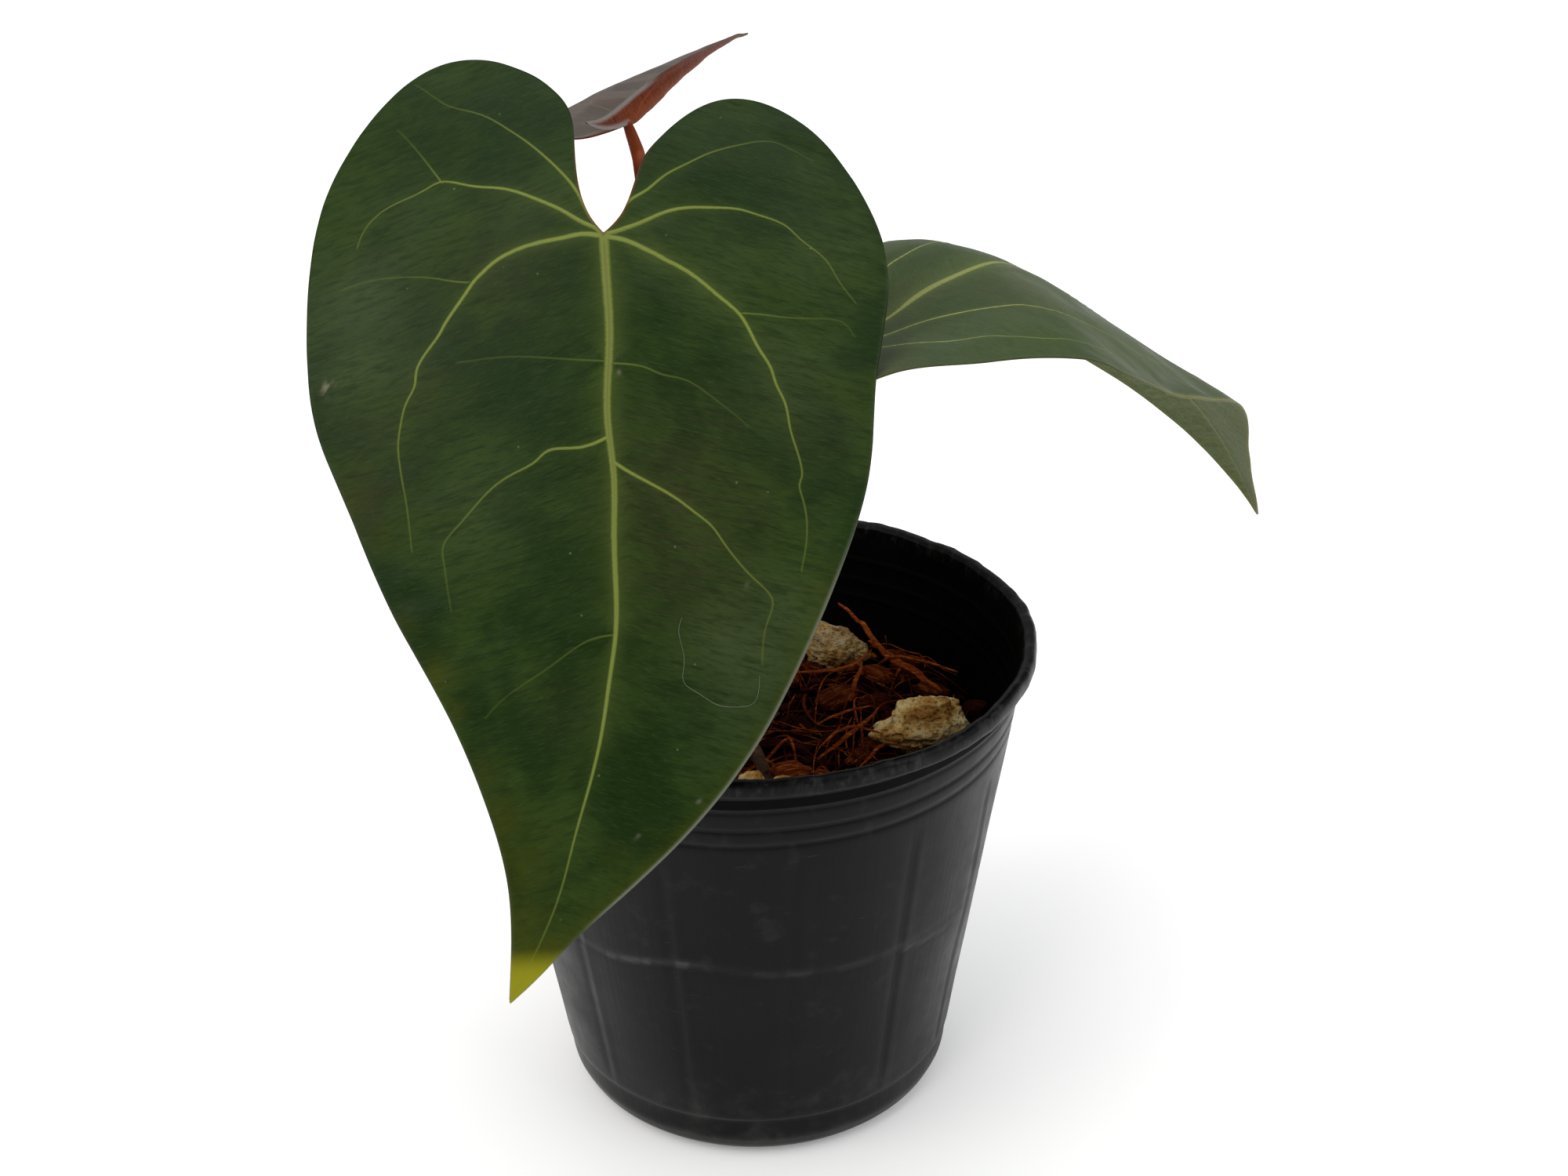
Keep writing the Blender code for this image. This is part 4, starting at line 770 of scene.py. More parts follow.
def build_leaf(name, leaf, veins, stations, half, materials, slot, node, tones, thick=0.62, edge_thick=0.34, quilt=0.22, ridge=0.16, under_rib=0.95, wave=0.35, seed=1):
    surface = Blade(leaf)
    # finer columns beside the midrib
    columns = np.linspace(0, 1, half) ** 1.12
    rows, share = blade_rows(leaf, stations, columns)
    high, wide = rows.shape[:2]
    places = rows.reshape(-1, 2)
    u, v = places[:, 0], places[:, 1]
    base, normal = surface.at(u, v), surface.normal(u, v)
    ratio, gap, width, rib, side = vein_fields(places, veins)
    edge = edge_distance(places, leaf)
    length = leaf["length"]
    centre_u = smooth_table(leaf["midrib"], np.clip(v, 0, length))
    aside = u - centre_u
    near_edge = 1 - fade(edge, 0, 9)
    # streak coordinate: runs out from the midrib and bends towards the tip
    lean = v - 0.34 * np.abs(aside) + 0.0016 * aside**2
    leaf_mm = np.stack([u, v, lean], -1)
    strong = fade(width, 0.08, 0.45)
    quilting = quilt * (noise(np.stack([aside * 0.55, lean], -1), 7.5, seed) * 0.6 + noise(np.stack([aside * 0.45, lean], -1), 3.6, seed + 5) * 0.25)
    quilting *= 0.45 + 0.9 * fade(np.abs(aside), 8, 34)
    sunk = -0.26 * quilt / 0.22 * np.exp(-(gap / 2.4) ** 2) * strong
    raised = ridge * np.exp(-(ratio / 0.85) ** 2) * (0.35 + strong) * fade(length - v, 0, 12)
    groove = -0.10 * np.exp(-(rib / 0.28) ** 2) * fade(70 - v, 0, 40) * fade(v, -1, 4)
    frill = wave * near_edge * (noise(np.stack([u, v], -1), 16, seed + 9) * 0.7 + noise(np.stack([u, v], -1), 7, seed + 10) * 0.3) * fade(edge + np.hypot(u, v), 4, 16)
    lift = (quilting + sunk) * fade(edge, 0, 3) * fade(np.hypot(u, v), 0.5, 7) + raised + groove + frill
    top = base + normal * lift[:, None]
    depth = edge_thick + (thick - edge_thick) * fade(edge, 0, 7)
    rib_w = 1.15 + 0.55 * fade(60 - v, 0, 60)
    bulge = under_rib * np.exp(-(rib / rib_w) ** 2) * (0.18 + 0.82 * fade(length - v, 4, length)) * fade(v, -2, 3)
    side_ribs = 0.34 * np.exp(-(gap / (0.25 + 1.4 * np.maximum(width, 0.05))) ** 2) * strong * (rib > 1.2) * fade(edge, 0, 5)
    bottom = base + normal * ((quilting + sunk) * fade(edge, 0, 3) * fade(np.hypot(u, v), 0.5, 7) + frill - depth - bulge - side_ribs)[:, None]
    n = high * wide
    # a rounded margin: a middle line pushed outwards between the two faces
    grid = np.arange(n).reshape(high, wide)
    outward = np.zeros((high, 2, 3))
    for k, (e, i) in enumerate(((0, 1), (wide - 1, wide - 2))):
        d = base.reshape(high, wide, 3)[:, e] - base.reshape(high, wide, 3)[:, i]
        size = np.linalg.norm(d, axis=1)[:, None]
        outward[:, k] = np.where(size > 1e-6, d / np.maximum(size, 1e-9), 0)
    margins = []
    for k, e in enumerate((0, wide - 1)):
        middle = (top[grid[:, e]] + bottom[grid[:, e]]) / 2 + outward[:, k] * 0.5 * edge_thick
        middle[0] = middle[-1] = 0
        middle[0], middle[-1] = (top[grid[0, e]] + bottom[grid[0, e]]) / 2, (top[grid[-1, e]] + bottom[grid[-1, e]]) / 2
        margins.append(middle)
    points = np.concatenate([top, bottom, margins[0], margins[1]])
    first, second = 2 * n + np.arange(high), 2 * n + high + np.arange(high)
    faces = grid_faces(high, wide)
    # right margin is column 0
    strip = []
    for line, e, turned in ((first, 0, True), (second, wide - 1, False)):
        a, m, b = grid[:, e], line, grid[:, e] + n
        for p, q in ((a, m), (m, b)):
            quads = np.stack([p[:-1], q[:-1], q[1:], p[1:]], -1)
            strip.append(quads[:, ::-1] if turned else quads)
    flip = np.einsum("ij,ij->i", np.cross(top[faces[:, 1]] - top[faces[:, 0]], top[faces[:, 2]] - top[faces[:, 0]]), normal[faces[:, 0]]).sum() < 0
    upper = faces[:, ::-1] if flip else faces
    lower = faces + n if flip else faces[:, ::-1] + n
    edges = np.concatenate(strip)
    if not flip:
        edges = edges[:, ::-1]
    extra = lambda value: np.concatenate([value, value, value[grid[:, 0]], value[grid[:, wide - 1]]])
    lines = {}
    for layer, names in VEIN_LAYERS.items():
        _, near_by, wide_here, _, signed = vein_fields(places, {key: vein for key, vein in veins.items() if key in names})
        lines |= {"vein" + layer: extra(np.clip(signed, -4, 4)), "vein_gap" + layer: extra(np.clip(near_by, 0, 6)), "vein_wide" + layer: extra(wide_here)}
    halo = np.exp(-(np.maximum(gap - width, 0) / (0.5 + 2.2 * width)) ** 1.1) * strong
    ribbed = np.exp(-(rib / 1.0) ** 2) * fade(85 - v, 0, 60) * fade(v, 0, 3)
    values = dict(
        leaf_mm=extra(leaf_mm), halo=extra(halo), ribbed=extra(ribbed), **lines,
        **{key: extra(np.clip(tones[key](places, edge) if key in tones else 0 * u, 0, 1)) for key in ("grey_and_sheen", "deep", "brown", "yellow", "edge_highlight", "red", "scar")},
    )
    which = [np.zeros(len(upper), int), np.ones(len(lower), int), np.zeros(len(edges), int)]
    made = mesh_of(name, points, [upper, lower, edges], materials, which=which, weld=2e-4, **values)
    place(made, slot, node)
    return made, surface


def build_leaves():
    front_top = leaf_top("leaf_green_front", (0.0060, 0.0200, 0.0008), (0.0190, 0.0390, 0.0040), (0.0440, 0.0620, 0.0210), (0.0300, 0.0310, 0.0090),
                         (0.0400, 0.0450, 0.0003), (0.1450, 0.1800, 0.0330), (0.120, 0.130, 0.034), (0.110, 0.032, 0.012), streak=0.58, specular=0.085)
    front_under = leaf_under("leaf_under_front", (0.085, 0.115, 0.045), (0.060, 0.088, 0.030), (0.160, 0.165, 0.070))
    right_top = leaf_top("leaf_green_right", (0.0260, 0.0480, 0.0090), (0.0440, 0.0700, 0.0190), (0.0760, 0.0980, 0.0430), (0.0480, 0.0540, 0.0200),
                         (0.160, 0.148, 0.020), (0.2200, 0.2500, 0.0720), (0.200, 0.210, 0.070), (0.100, 0.036, 0.016), streak=0.32, rough=(0.42, 0.56), specular=0.12, rim=(0.15, 0.16, 0.06))
    right_under = leaf_under("leaf_under_right", (0.100, 0.130, 0.040), (0.070, 0.094, 0.026), (0.170, 0.185, 0.065))
    young_top = leaf_top("leaf_young_top", (0.052, 0.038, 0.030), (0.078, 0.062, 0.052), (0.150, 0.128, 0.112), (0.090, 0.044, 0.026),
                         (0.12, 0.08, 0.03), (0.170, 0.130, 0.036), (0.180, 0.120, 0.040), (0.120, 0.022, 0.005), streak=0.25, rough=(0.38, 0.52), specular=0.10)
    # rim: the colour of the painted highlight along the young blade's margin
    young_under = leaf_under("leaf_young_under", (0.130, 0.022, 0.0045), (0.070, 0.011, 0.0028), (0.170, 0.036, 0.008), 0.55, rim=(0.22, 0.185, 0.17))

    def centre_line(v):
        return smooth_table(FRONT_LEAF["midrib"], np.clip(v, 0, 137))

    def front_red(p, edge):
        near = np.hypot(p[:, 0], p[:, 1] + 2)
        sinus = np.exp(-(edge / 0.34) ** 2) * fade(24 - near, 0, 20) * (p[:, 1] < 1)
        return 0.75 * np.maximum(sinus, np.exp(-(near / 1.1) ** 2))

    def front_yellow(p, edge):
        low = fade(p[:, 1], 66, 120) * np.exp(-(edge / 3.0) ** 1.3) * 0.6
        right_low = fade(-p[:, 0], 4, 20) * fade(p[:, 1], 56, 72) * np.exp(-(edge / 2.0) ** 1.4) * 0.7
        tip = fade(p[:, 1], 118, 134) ** 1.1
        return np.maximum.reduce([0.5 * blotches(p, FRONT_YELLOW), 0.8 * low, 0.6 * right_low, tip])

    # painted highlight: a thin pale line along the margin, strongest along one side of the lower blade
    def front_edge_highlight(p, edge):
        return np.exp(-(edge / 0.36) ** 2) * (0.12 + 0.88 * fade(p[:, 1], 50, 70) * fade(126 - p[:, 1], 0, 8) * (p[:, 0] < centre_line(p[:, 1]))) * (p[:, 1] > 2)

    def front_scar(p, edge):
        spot = np.hypot(p[:, 0] - 51.4, p[:, 1] - 23.9)
        torn = np.exp(-(spot / 1.2) ** 2) * fade(noise(p, 0.8, 77), -0.1, 0.5)
        dots = sum(np.exp(-(np.hypot(p[:, 0] - a, p[:, 1] - b) / 0.36) ** 2) for a, b in ((-22, 65.2), (-0.8, 108), (-11.9, 102.4), (-1.6, 26.5)))
        return 0.8 * torn + 0.5 * dots

    front, front_surface = build_leaf(
        "leaf_front", FRONT_LEAF, FRONT_VEINS, 400, 132, [front_top, front_under], "leaf_green", "blade_front",
        # front blade: the strongest grey_and_sheen blotches are painted sheen
        dict(grey_and_sheen=lambda p, e: blotches(p, FRONT_GREY_AND_SHEEN), deep=lambda p, e: blotches(p, FRONT_DEEP), brown=lambda p, e: blotches(p, FRONT_BROWN),
             yellow=front_yellow, edge_highlight=front_edge_highlight, red=front_red, scar=front_scar), seed=3)
    build_leaf(
        "leaf_right", RIGHT_LEAF, RIGHT_VEINS, 330, 96, [right_top, right_under], "leaf_green", "blade_right",
        # painted sheen: a grey band across the middle of the blade where it catches the light at a grazing angle, plus
        # grey patches
        dict(grey_and_sheen=lambda p, e: 0.6 * fade(p[:, 1], 34, 46) * fade(80 - p[:, 1], 0, 20) + 0.3 * fade(noise(p, 14, 5), 0, 0.6),
             deep=lambda p, e: 0.5 * fade(p[:, 0], 16, 40) * fade(50 - p[:, 1], 0, 30),
             brown=lambda p, e: 0.5 * fade(noise(p, 18, 6), 0.1, 0.6),
             yellow=lambda p, e: np.maximum(np.exp(-(e / 1.0) ** 2) * fade(p[:, 1], 50, 66) * 0.7, fade(p[:, 1], 128, 138)),
             # painted highlight along the margin
             edge_highlight=lambda p, e: np.exp(-(e / 0.5) ** 2) * (0.3 + 0.7 * fade(p[:, 1], 40, 60)),
             red=lambda p, e: 0.7 * np.exp(-(np.hypot(p[:, 0], p[:, 1]) / 1.6) ** 2)), wave=0.3, quilt=0.2, seed=21)
    build_leaf(
        "leaf_young", YOUNG_LEAF, YOUNG_VEINS, 240, 56, [young_top, young_under], "leaf_young", "blade_young",
        # painted sheen: a grey band along the curled left margin, plus patches of grey tone
        dict(grey_and_sheen=lambda p, e: np.maximum(0.8 * np.exp(-((e - 1.7 * (p[:, 1] < 0)) / 0.8) ** 2) * (p[:, 0] < 0), 0.35 * fade(noise(p, 8, 8), 0, 0.6)),
             brown=lambda p, e: 0.6 * fade(noise(p, 10, 9), 0.1, 0.7),
             red=lambda p, e: np.maximum(0.9 * np.exp(-(np.hypot(p[:, 0], p[:, 1]) / 1.8) ** 2), 0.95 * fade(1.25 - e, 0, 0.4) * (p[:, 0] < 0) * fade(-p[:, 1], 0.5, 3)),
             # painted highlight along the margin near the foot of the blade
             edge_highlight=lambda p, e: np.exp(-(e / 0.8) ** 4) * (p[:, 0] > 0) * fade(26 - p[:, 1], 0, 14),
             yellow=lambda p, e: 0.4 * fade(p[:, 1], 70, 90)),
        thick=0.5, edge_thick=0.3, quilt=0.16, ridge=0.10, under_rib=0.7, wave=0.25, seed=41)
    # one stray fibre of lint lying on the front leaf
    line = spline(FRONT_LINT, 60)
    lie = front_surface.at(line[:, 0], line[:, 1]) + front_surface.normal(line[:, 0], line[:, 1]) * 0.14
    g = Graph("lint_white", Specular_IOR_Level=0.3)
    tint = g.noise(g.place(), 300.0, 3, 0.6)
    lint = g.done(Base_Color=g.ramp(tint, (0.3, (0.12, 0.14, 0.09)), (0.7, (0.24, 0.27, 0.20))), Roughness=0.8)
    points, quads = tube(lie, (0.02, 0.03, 0.03, 0.02), 8)
    place(mesh_of("lint_thread", points, [quads], [lint], weld=1e-4), "leaf_green")


# ---- stalks, crown ------------------------------------------------------------
def build_stalks():
    green = stalk_material("stalk_green", (0.085, 0.070, 0.028), (0.115, 0.120, 0.040), (0.050, 0.030, 0.015), (0.130, 0.060, 0.025))
    red = stalk_material("stalk_red", (0.090, 0.022, 0.009), (0.115, 0.014, 0.004), (0.040, 0.006, 0.003), (0.190, 0.036, 0.008), 0.10)
    for name, (path, low, high, leaf) in STALKS.items():
        surface = Blade(leaf)
        _, _, up = surface.directions(np.array([0.0]))
        up = up[0]
        ahead = surface.at(np.array([0.0]), np.array([2.0]))[0] - surface.at(np.array([0.0]), np.array([0.0]))[0]
        end = np.array(leaf["foot"]) + (0.0 if name == "young" else 0.7) * ahead - up * (0.35 if name == "young" else 1.9)
        line = spline(list(path) + [tuple(end - up * 6.0), tuple(end)], 240)
        reach = np.concatenate([[0], np.cumsum(np.linalg.norm(np.diff(line, axis=0), axis=1))])
        back = reach[-1] - reach
        radius = low + (high - low) * fade(reach / reach[-1], 0, 1)
        radius = radius * (1 + 0.26 * np.exp(-((back - 6.0) / 3.6) ** 2) - 0.12 * np.exp(-(back / 1.2) ** 2))
        radius = radius * (1 + 0.45 * np.exp(-(reach / 6.0) ** 2))
        wobble = lambda t, a: 1 + 0.035 * np.cos(5 * a + 3 * t) + 0.02 * np.cos(9 * a - 5 * t) + 0.012 * np.sin(60 * t + 2 * a)
        sides = 40
        points, quads = tube(line, radius, sides, ripple=wobble)
        ring = np.repeat(np.concatenate([[0] * 3, reach, [reach[-1]] * 3]), sides)
        turn = np.tile(np.linspace(0, 2 * np.pi, sides, endpoint=False), len(line) + 6)
        joint = np.exp(-(((reach[-1] - ring) - 5.0) / 5.0) ** 4) + 0.5 * np.exp(-(ring / 7.0) ** 2)
        stalk_mm = np.stack([1.7 * np.cos(turn), 1.7 * np.sin(turn), ring], -1)
        made = mesh_of(f"stalk_{name}", points, [quads], [red if name == "young" else green], weld=1e-4,
                       stalk_mm=stalk_mm, along=ring / reach[-1], joint=np.clip(joint, 0, 1))
        place(made, "stalk_red" if name == "young" else "stalk_green", f"petiole_{name}")


def revolve(profile, sides):
    turn = np.linspace(0, 2 * np.pi, sides, endpoint=False)
    profile = np.asarray(profile, float)
    points = np.stack([profile[:, :1] * np.cos(turn), profile[:, :1] * np.sin(turn), profile[:, 1:] + 0 * turn], -1)
    return points.reshape(-1, 3), grid_faces(len(profile), sides, wrap=True)


def dense(profile, step):
    """The profile with its corners eased and points every step along it."""
    line = np.asarray(profile, float)
    for _ in range(2):
        cut = [line[0]]
        for a, b in zip(line[:-1], line[1:]):
            share = min(0.25, 0.45 / max(np.linalg.norm(b - a), 1e-9))
            cut += [a + (b - a) * share, b - (b - a) * share]
        line = np.array(cut + [line[-1]])
    place_ = np.concatenate([[0], np.cumsum(np.linalg.norm(np.diff(line, axis=0), axis=1))])
    at = np.unique(np.concatenate([np.linspace(0, place_[-1], int(place_[-1] / step) + 1), place_]))
    at = at[np.concatenate([[True], np.diff(at) > 0.04])]
    return np.stack([np.interp(at, place_, line[:, k]) for k in (0, 1)], 1)


def build_crown():
    bark = earthy("crown_bark", (0.050, 0.030, 0.014), (0.125, 0.085, 0.036), (0.240, 0.190, 0.085), 0.5, (1, 1, 2.2), 0.8, 0.9, 0.4, 0.3)
    profile = dense(CROWN_PROFILE, 0.30)
    points, quads = revolve(profile, 96)
    turn = np.arctan2(points[:, 1], points[:, 0])
    wide = np.hypot(points[:, 0], points[:, 1])
    swell = 0.35 * noise(points, 4.0, 51, 3) + 0.22 * np.cos(points[:, 2] * 4.4 + 2.0 * np.sin(turn))
    scale = 1 + np.where(wide > 0.5, swell / np.maximum(wide, 3), 0)
    points = points * np.stack([scale, scale, np.ones_like(scale)], -1)
    points[:, 2] += 0.35 * noise(points, 2.2, 53, 2) * (points[:, 2] > 9)
    points += (*CROWN_XY, CROWN_FOOT)
    crown = mesh_of("crown_knot", points, [quads], [bark], weld=1e-3, tone=0.5 + 0.35 * noise(points, 3.0, 55))
    place(crown, "crown", "crown_stem")
    root_skin = earthy("root_skin", (0.020, 0.008, 0.004), (0.060, 0.026, 0.011), (0.120, 0.056, 0.024), 0.6, (1, 1, 1), 0.85, 0.8, 0.3, 0.25)
    for k, (a, b, c, r) in enumerate(ROOTS):
        start = np.array(a) + (np.array((*CROWN_XY, a[2])) - a) * 0.35
        end = np.array(c) + np.array([0, 0, -3.0])
        line = spline((start, a, b, c, end), 70)
        line += 0.22 * np.stack([noise(line, 4.0, 60 + k), noise(line, 4.0, 70 + k), 0 * line[:, 0]], -1)
        points, quads = tube(line, (r * 1.1, r, r * 1.02, r * 0.9, r * 0.7), 28, ripple=lambda t, s: 1 + 0.06 * np.sin(36 * t + np.cos(s)) * np.cos(2 * s + 9 * t) + 0.03 * np.cos(4 * s))
        place(mesh_of(f"root_{k + 1}", points, [quads], [root_skin], weld=1e-4, tone=0.5 + 0.4 * noise(points, 3.0, 80 + k)), "crown", f"aerial_root_{k + 1}")
    paper = papery("bract_paper")
    for k, (bearing, height, half_width, lean) in enumerate(SHEATHS):
        foot = CROWN_FOOT + 1.0
        high, wide = 64, 44
        s, x = np.meshgrid(np.linspace(0, 1, high), np.linspace(-1, 1, wide), indexing="ij")
        spread = x * (half_width * (1 - s) ** 0.6 + 0.12 + 0.22 * (1 - s))
        torn = 0.5 * noise(np.stack([8 * s, 4 * x], -1).reshape(-1, 2), 0.8, 90 + k, 2).reshape(s.shape)
        radius = 9.3 + height * s * math.sin(math.radians(lean)) * s + 0.35 * torn * s + 0.12 * np.cos(x * 21) + 0.5 * s * x**2
        turn = math.radians(bearing) + spread / 9.6 + 0.05 * torn * s
        lift = foot + height * s * np.cos(math.radians(lean) * s) + 0.4 * torn * (np.abs(x) > 0.9)
        centre = np.stack([CROWN_XY[0] + radius * np.cos(turn), CROWN_XY[1] + radius * np.sin(turn), lift], -1)
        out = np.stack([np.cos(turn), np.sin(turn), 0 * turn], -1)
        half_thick = (0.22 * (1 - 0.7 * s) * (1 - 0.6 * x**4))[..., None]
        points = np.concatenate([(centre + out * half_thick).reshape(-1, 3), (centre - out * half_thick).reshape(-1, 3)])
        n = high * wide
        faces = grid_faces(high, wide)
        grid = np.arange(n).reshape(high, wide)
        rim = np.concatenate([grid[0], grid[1:, -1], grid[-1, -2::-1], grid[-2:0:-1, 0]])
        around = np.roll(rim, -1)
        sides_ = np.stack([rim, rim + n, around + n, around], -1)
        made = mesh_of(f"bract_{k + 1}", points, [faces, faces[:, ::-1] + n, sides_], [paper], which=[np.zeros(len(faces), int), np.zeros(len(faces), int), np.zeros(len(sides_), int)],
                       leaf_mm=np.tile(np.stack([spread, height * s, 0 * s], -1).reshape(-1, 3), (2, 1)))
        place(made, "sheath", f"cataphyll_{k + 1}")


# ---- pot ----------------------------------------------------------------------
def wall_radius(z):
    return BASE_RADIUS + WALL_SLOPE * z


def build_pot():
    sides = PANELS * 26
    inner = [(0, FLOOR), (35.0, FLOOR), (37.6, 1.7), (40.0, 3.3), (wall_radius(6.0) - WALL, 6.0)]
    for z in (60.0,):
        inner.append((wall_radius(z) - WALL, z))
    for z in GROOVES:
        inner += [(wall_radius(z - 0.9) - WALL, z - 0.9), (wall_radius(z) - WALL - 0.3, z), (wall_radius(z + 0.9) - WALL, z + 0.9)]
    lip = [(wall_radius(102.5) - WALL, 102.5), (57.2, 105.2), (58.2, POT_HEIGHT), (59.3, POT_HEIGHT),
           (60.0, 105.0), (60.0, 103.0), (59.5, 102.2), (wall_radius(101.6), 101.6)]
    outer = []
    for z in reversed(GROOVES):
        outer += [(wall_radius(z + 0.9), z + 0.9), (wall_radius(z) - 0.45, z), (wall_radius(z - 0.9), z - 0.9)]
    outer += [(wall_radius(STEP_HEIGHT + 0.5), STEP_HEIGHT + 0.5), (wall_radius(STEP_HEIGHT) - 0.4, STEP_HEIGHT - 0.3),
              (wall_radius(5.6), 5.6), (41.0, 2.8), (39.0, 0.8), (35.8, 0), (0, 0)]
    marks = [dense(inner, 1.6), dense([inner[-1]] + lip + [outer[0]], 0.35)[1:-1], dense(outer[:-1], 0.9), dense(outer[-2:], 2.5)[1:]]
    profile = np.concatenate(marks)
    role = np.concatenate([np.full(len(m), k) for k, m in enumerate(marks)])
    points, quads = revolve(profile, sides)
    role = np.repeat(role, sides)
    z = points[:, 2]
    wide = np.hypot(points[:, 0], points[:, 1])
    turn = np.arctan2(points[:, 1], points[:, 0])
    bearing = np.degrees(turn)
    out = np.stack([np.cos(turn), np.sin(turn), 0 * turn], -1)
    around = np.stack([np.cos(turn), np.sin(turn)], -1)
    wall = fade(wide, 38, 41) * fade(z, 2, 8)
    ring = np.concatenate([around * 9, z[:, None] * 0.16], -1)
    shift = wall * 0.26 * noise(ring, 4.5, 101, 2)
    # panel lines: shallow channels with a raised edge
    step = 360.0 / PANELS
    off = ((bearing - PANEL_AT + step / 2) % step - step / 2) * math.pi / 180 * np.maximum(wide, 1)
    panel = fade(z, 9, 18) * fade(86.5 - z, 0, 9)
    shift += panel * wall * (-0.20 * np.exp(-(off / 0.9) ** 2) + 0.10 * np.exp(-((off - 2.0) / 1.1) ** 2))
    # an old crease right round, and a short scratch
    low = 53.6 + 1.7 * noise(around * 6, 3.0, 103, 2) + 2.2 * np.exp(-((bearing + 105) / 14) ** 2) - 0.8 * np.exp(-((bearing + 129) / 9) ** 2)
    crease = np.exp(-((z - low) / 0.75) ** 2) * (role >= 1)
    there = fade(noise(around * 9, 3.0, 107, 2), -0.35, 0.25) * 0.7 + 0.3
    shift -= 0.16 * crease * wall * there
    scar = z - (52.0 - 0.125 * (bearing + 52))
    short = np.exp(-(scar / 0.5) ** 2) * fade(bearing, -54, -51) * fade(-bearing, 33, 36) * (role >= 1)
    shift -= 0.12 * short * wall
    # lip: uneven, slightly torn flash along its edge
    top = fade(z, 100, 104)
    ragged = noise(around * 40, 3.0, 111, 3)
    shift += top * (0.38 * noise(around * 8, 3.0, 109, 2) + 0.20 * ragged)
    rise = top * (0.40 * noise(around * 7, 3.0, 113, 2) + 0.22 * noise(around * 55, 3.0, 117, 2)) - 0.25 * top
    points = points + out * shift[:, None]
    points[:, 2] += rise
    inside = (role == 0).astype(float)
    inside = np.maximum(inside, (role == 1) & (wide < 57.3)).astype(float)
    scratch = crease * there * (0.35 + 0.65 * fade(noise(around * 60, 3.0, 119), -0.1, 0.5)) + 0.9 * short
    dusty = fade(11 - z, 0, 8) * 0.55 * (role >= 2) + 0.35 * np.exp(-((z - 14) / 5) ** 2) * (role >= 2) * fade(noise(around * 7, 3.0, 121), 0, 0.6)
    rim = (role == 1) * fade(z, 101.5, 104.5)
    pot = mesh_of("pot_shell", points, [quads[:, ::-1]], [pot_material(False), pot_material(True)], which=[inside[quads].mean(1) > 0.6], weld=1e-3,
                  scratch=np.clip(scratch, 0, 1), dusty=dusty, rim=rim.astype(float))
    turns = [2 * math.pi * (k + 0.5) / DRAIN_COUNT for k in range(DRAIN_COUNT)]
    pile = Pile()
    for t in turns:
        rod, faces = tube([(DRAIN_RING * math.cos(t), DRAIN_RING * math.sin(t), h) for h in (-6, -3, 0, 3, 6)], (DRAIN_RADIUS,) * 2, 40)
        pile.add(rod, faces)
    cutter = pile.make("drain_cutter", [pot.data.materials[0]], weld=1e-4)
    cut = pot.modifiers.new("drains", "BOOLEAN")
    cut.operation, cut.solver, cut.object = "DIFFERENCE", "EXACT", cutter
    bpy.context.view_layer.update()
    mesh = bpy.data.meshes.new_from_object(pot.evaluated_get(bpy.context.evaluated_depsgraph_get()))
    pot.modifiers.clear()
    pot.data = mesh
    bpy.data.objects.remove(cutter, do_unlink=True)
    place(pot, "pot_plastic", "nursery_pot")


# ---- bed ----------------------------------------------------------------------
def stone_centre(c):
    return MIX_LEVEL + 0.45 * c


def chip_centre(length, thick, tilt):
    return MIX_LEVEL + 0.2 + 0.5 * length * math.sin(math.radians(abs(tilt))) + thick / 2


def bed_height(x, y):
    x, y = np.asarray(x, float), np.asarray(y, float)
    p = np.stack([x, y], -1)
    height = MIX_LEVEL - 0.4 + 0.8 * np.sin(0.21 * x + 0.6) * np.cos(0.24 * y) + 0.5 * np.sin(0.47 * x - 0.35 * y)
    height = height + 1.5 * noise(p, 8.0, 201) + 0.9 * noise(p, 3.4, 203) + 0.45 * noise(p, 1.5, 207)
    for sx, sy, a, b, c, _, _ in STONES:
        reach = max(a, b) + 1.5
        dip = 1 - fade(np.hypot(x - sx, y - sy), reach * 0.4, reach * 1.1)
        height = height - 1.6 * dip
    return height


def chunk(rng, length, width, thick):
    """A torn piece of husk: a rounded slab with ridges along the grain and frayed ends."""
    nx, ny = 15, 14
    s = np.linspace(-1, 1, nx)
    turn = np.linspace(0, 2 * np.pi, ny, endpoint=False)
    round_ = 0.62
    c, d = np.cos(turn), np.sin(turn)
    ring_y = np.sign(c) * np.abs(c) ** round_
    ring_z = np.sign(d) * np.abs(d) ** round_
    taper = (1 - np.abs(s) ** 5) ** 0.5 * (0.85 + 0.15 * np.cos(2.2 * s + rng.uniform(-1, 1)))
    taper[0] = taper[-1] = 0.0
    x = np.repeat(s * length / 2, ny)
    y = np.outer(taper, ring_y).ravel() * width / 2
    z = np.outer(taper, ring_z).ravel() * thick / 2
    p = np.stack([x, y, z], -1)
    seed = int(rng.integers(1, 9999))
    push = noise(p * (0.35, 1.6, 1.6) + seed, 1.4, seed, 2)
    bend = rng.uniform(-0.10, 0.22)
    p[:, 2] += bend * length * (0.25 - (p[:, 0] / length) ** 2) + 0.10 * thick * push
    radial = p * (0, 1, 1)
    p = p + radial * (0.20 * push)[:, None]
    p[:, 0] *= 1 + 0.16 * noise(np.stack([y, z], -1) * 1.3 + seed, 1.0, seed + 2)
    return p, grid_faces(nx, ny, wrap=True)


def turned_by(points, yaw, pitch, roll):
    m = Matrix.Rotation(yaw, 3, "Z") @ Matrix.Rotation(pitch, 3, "Y") @ Matrix.Rotation(roll, 3, "X")
    return points @ np.array(m).T


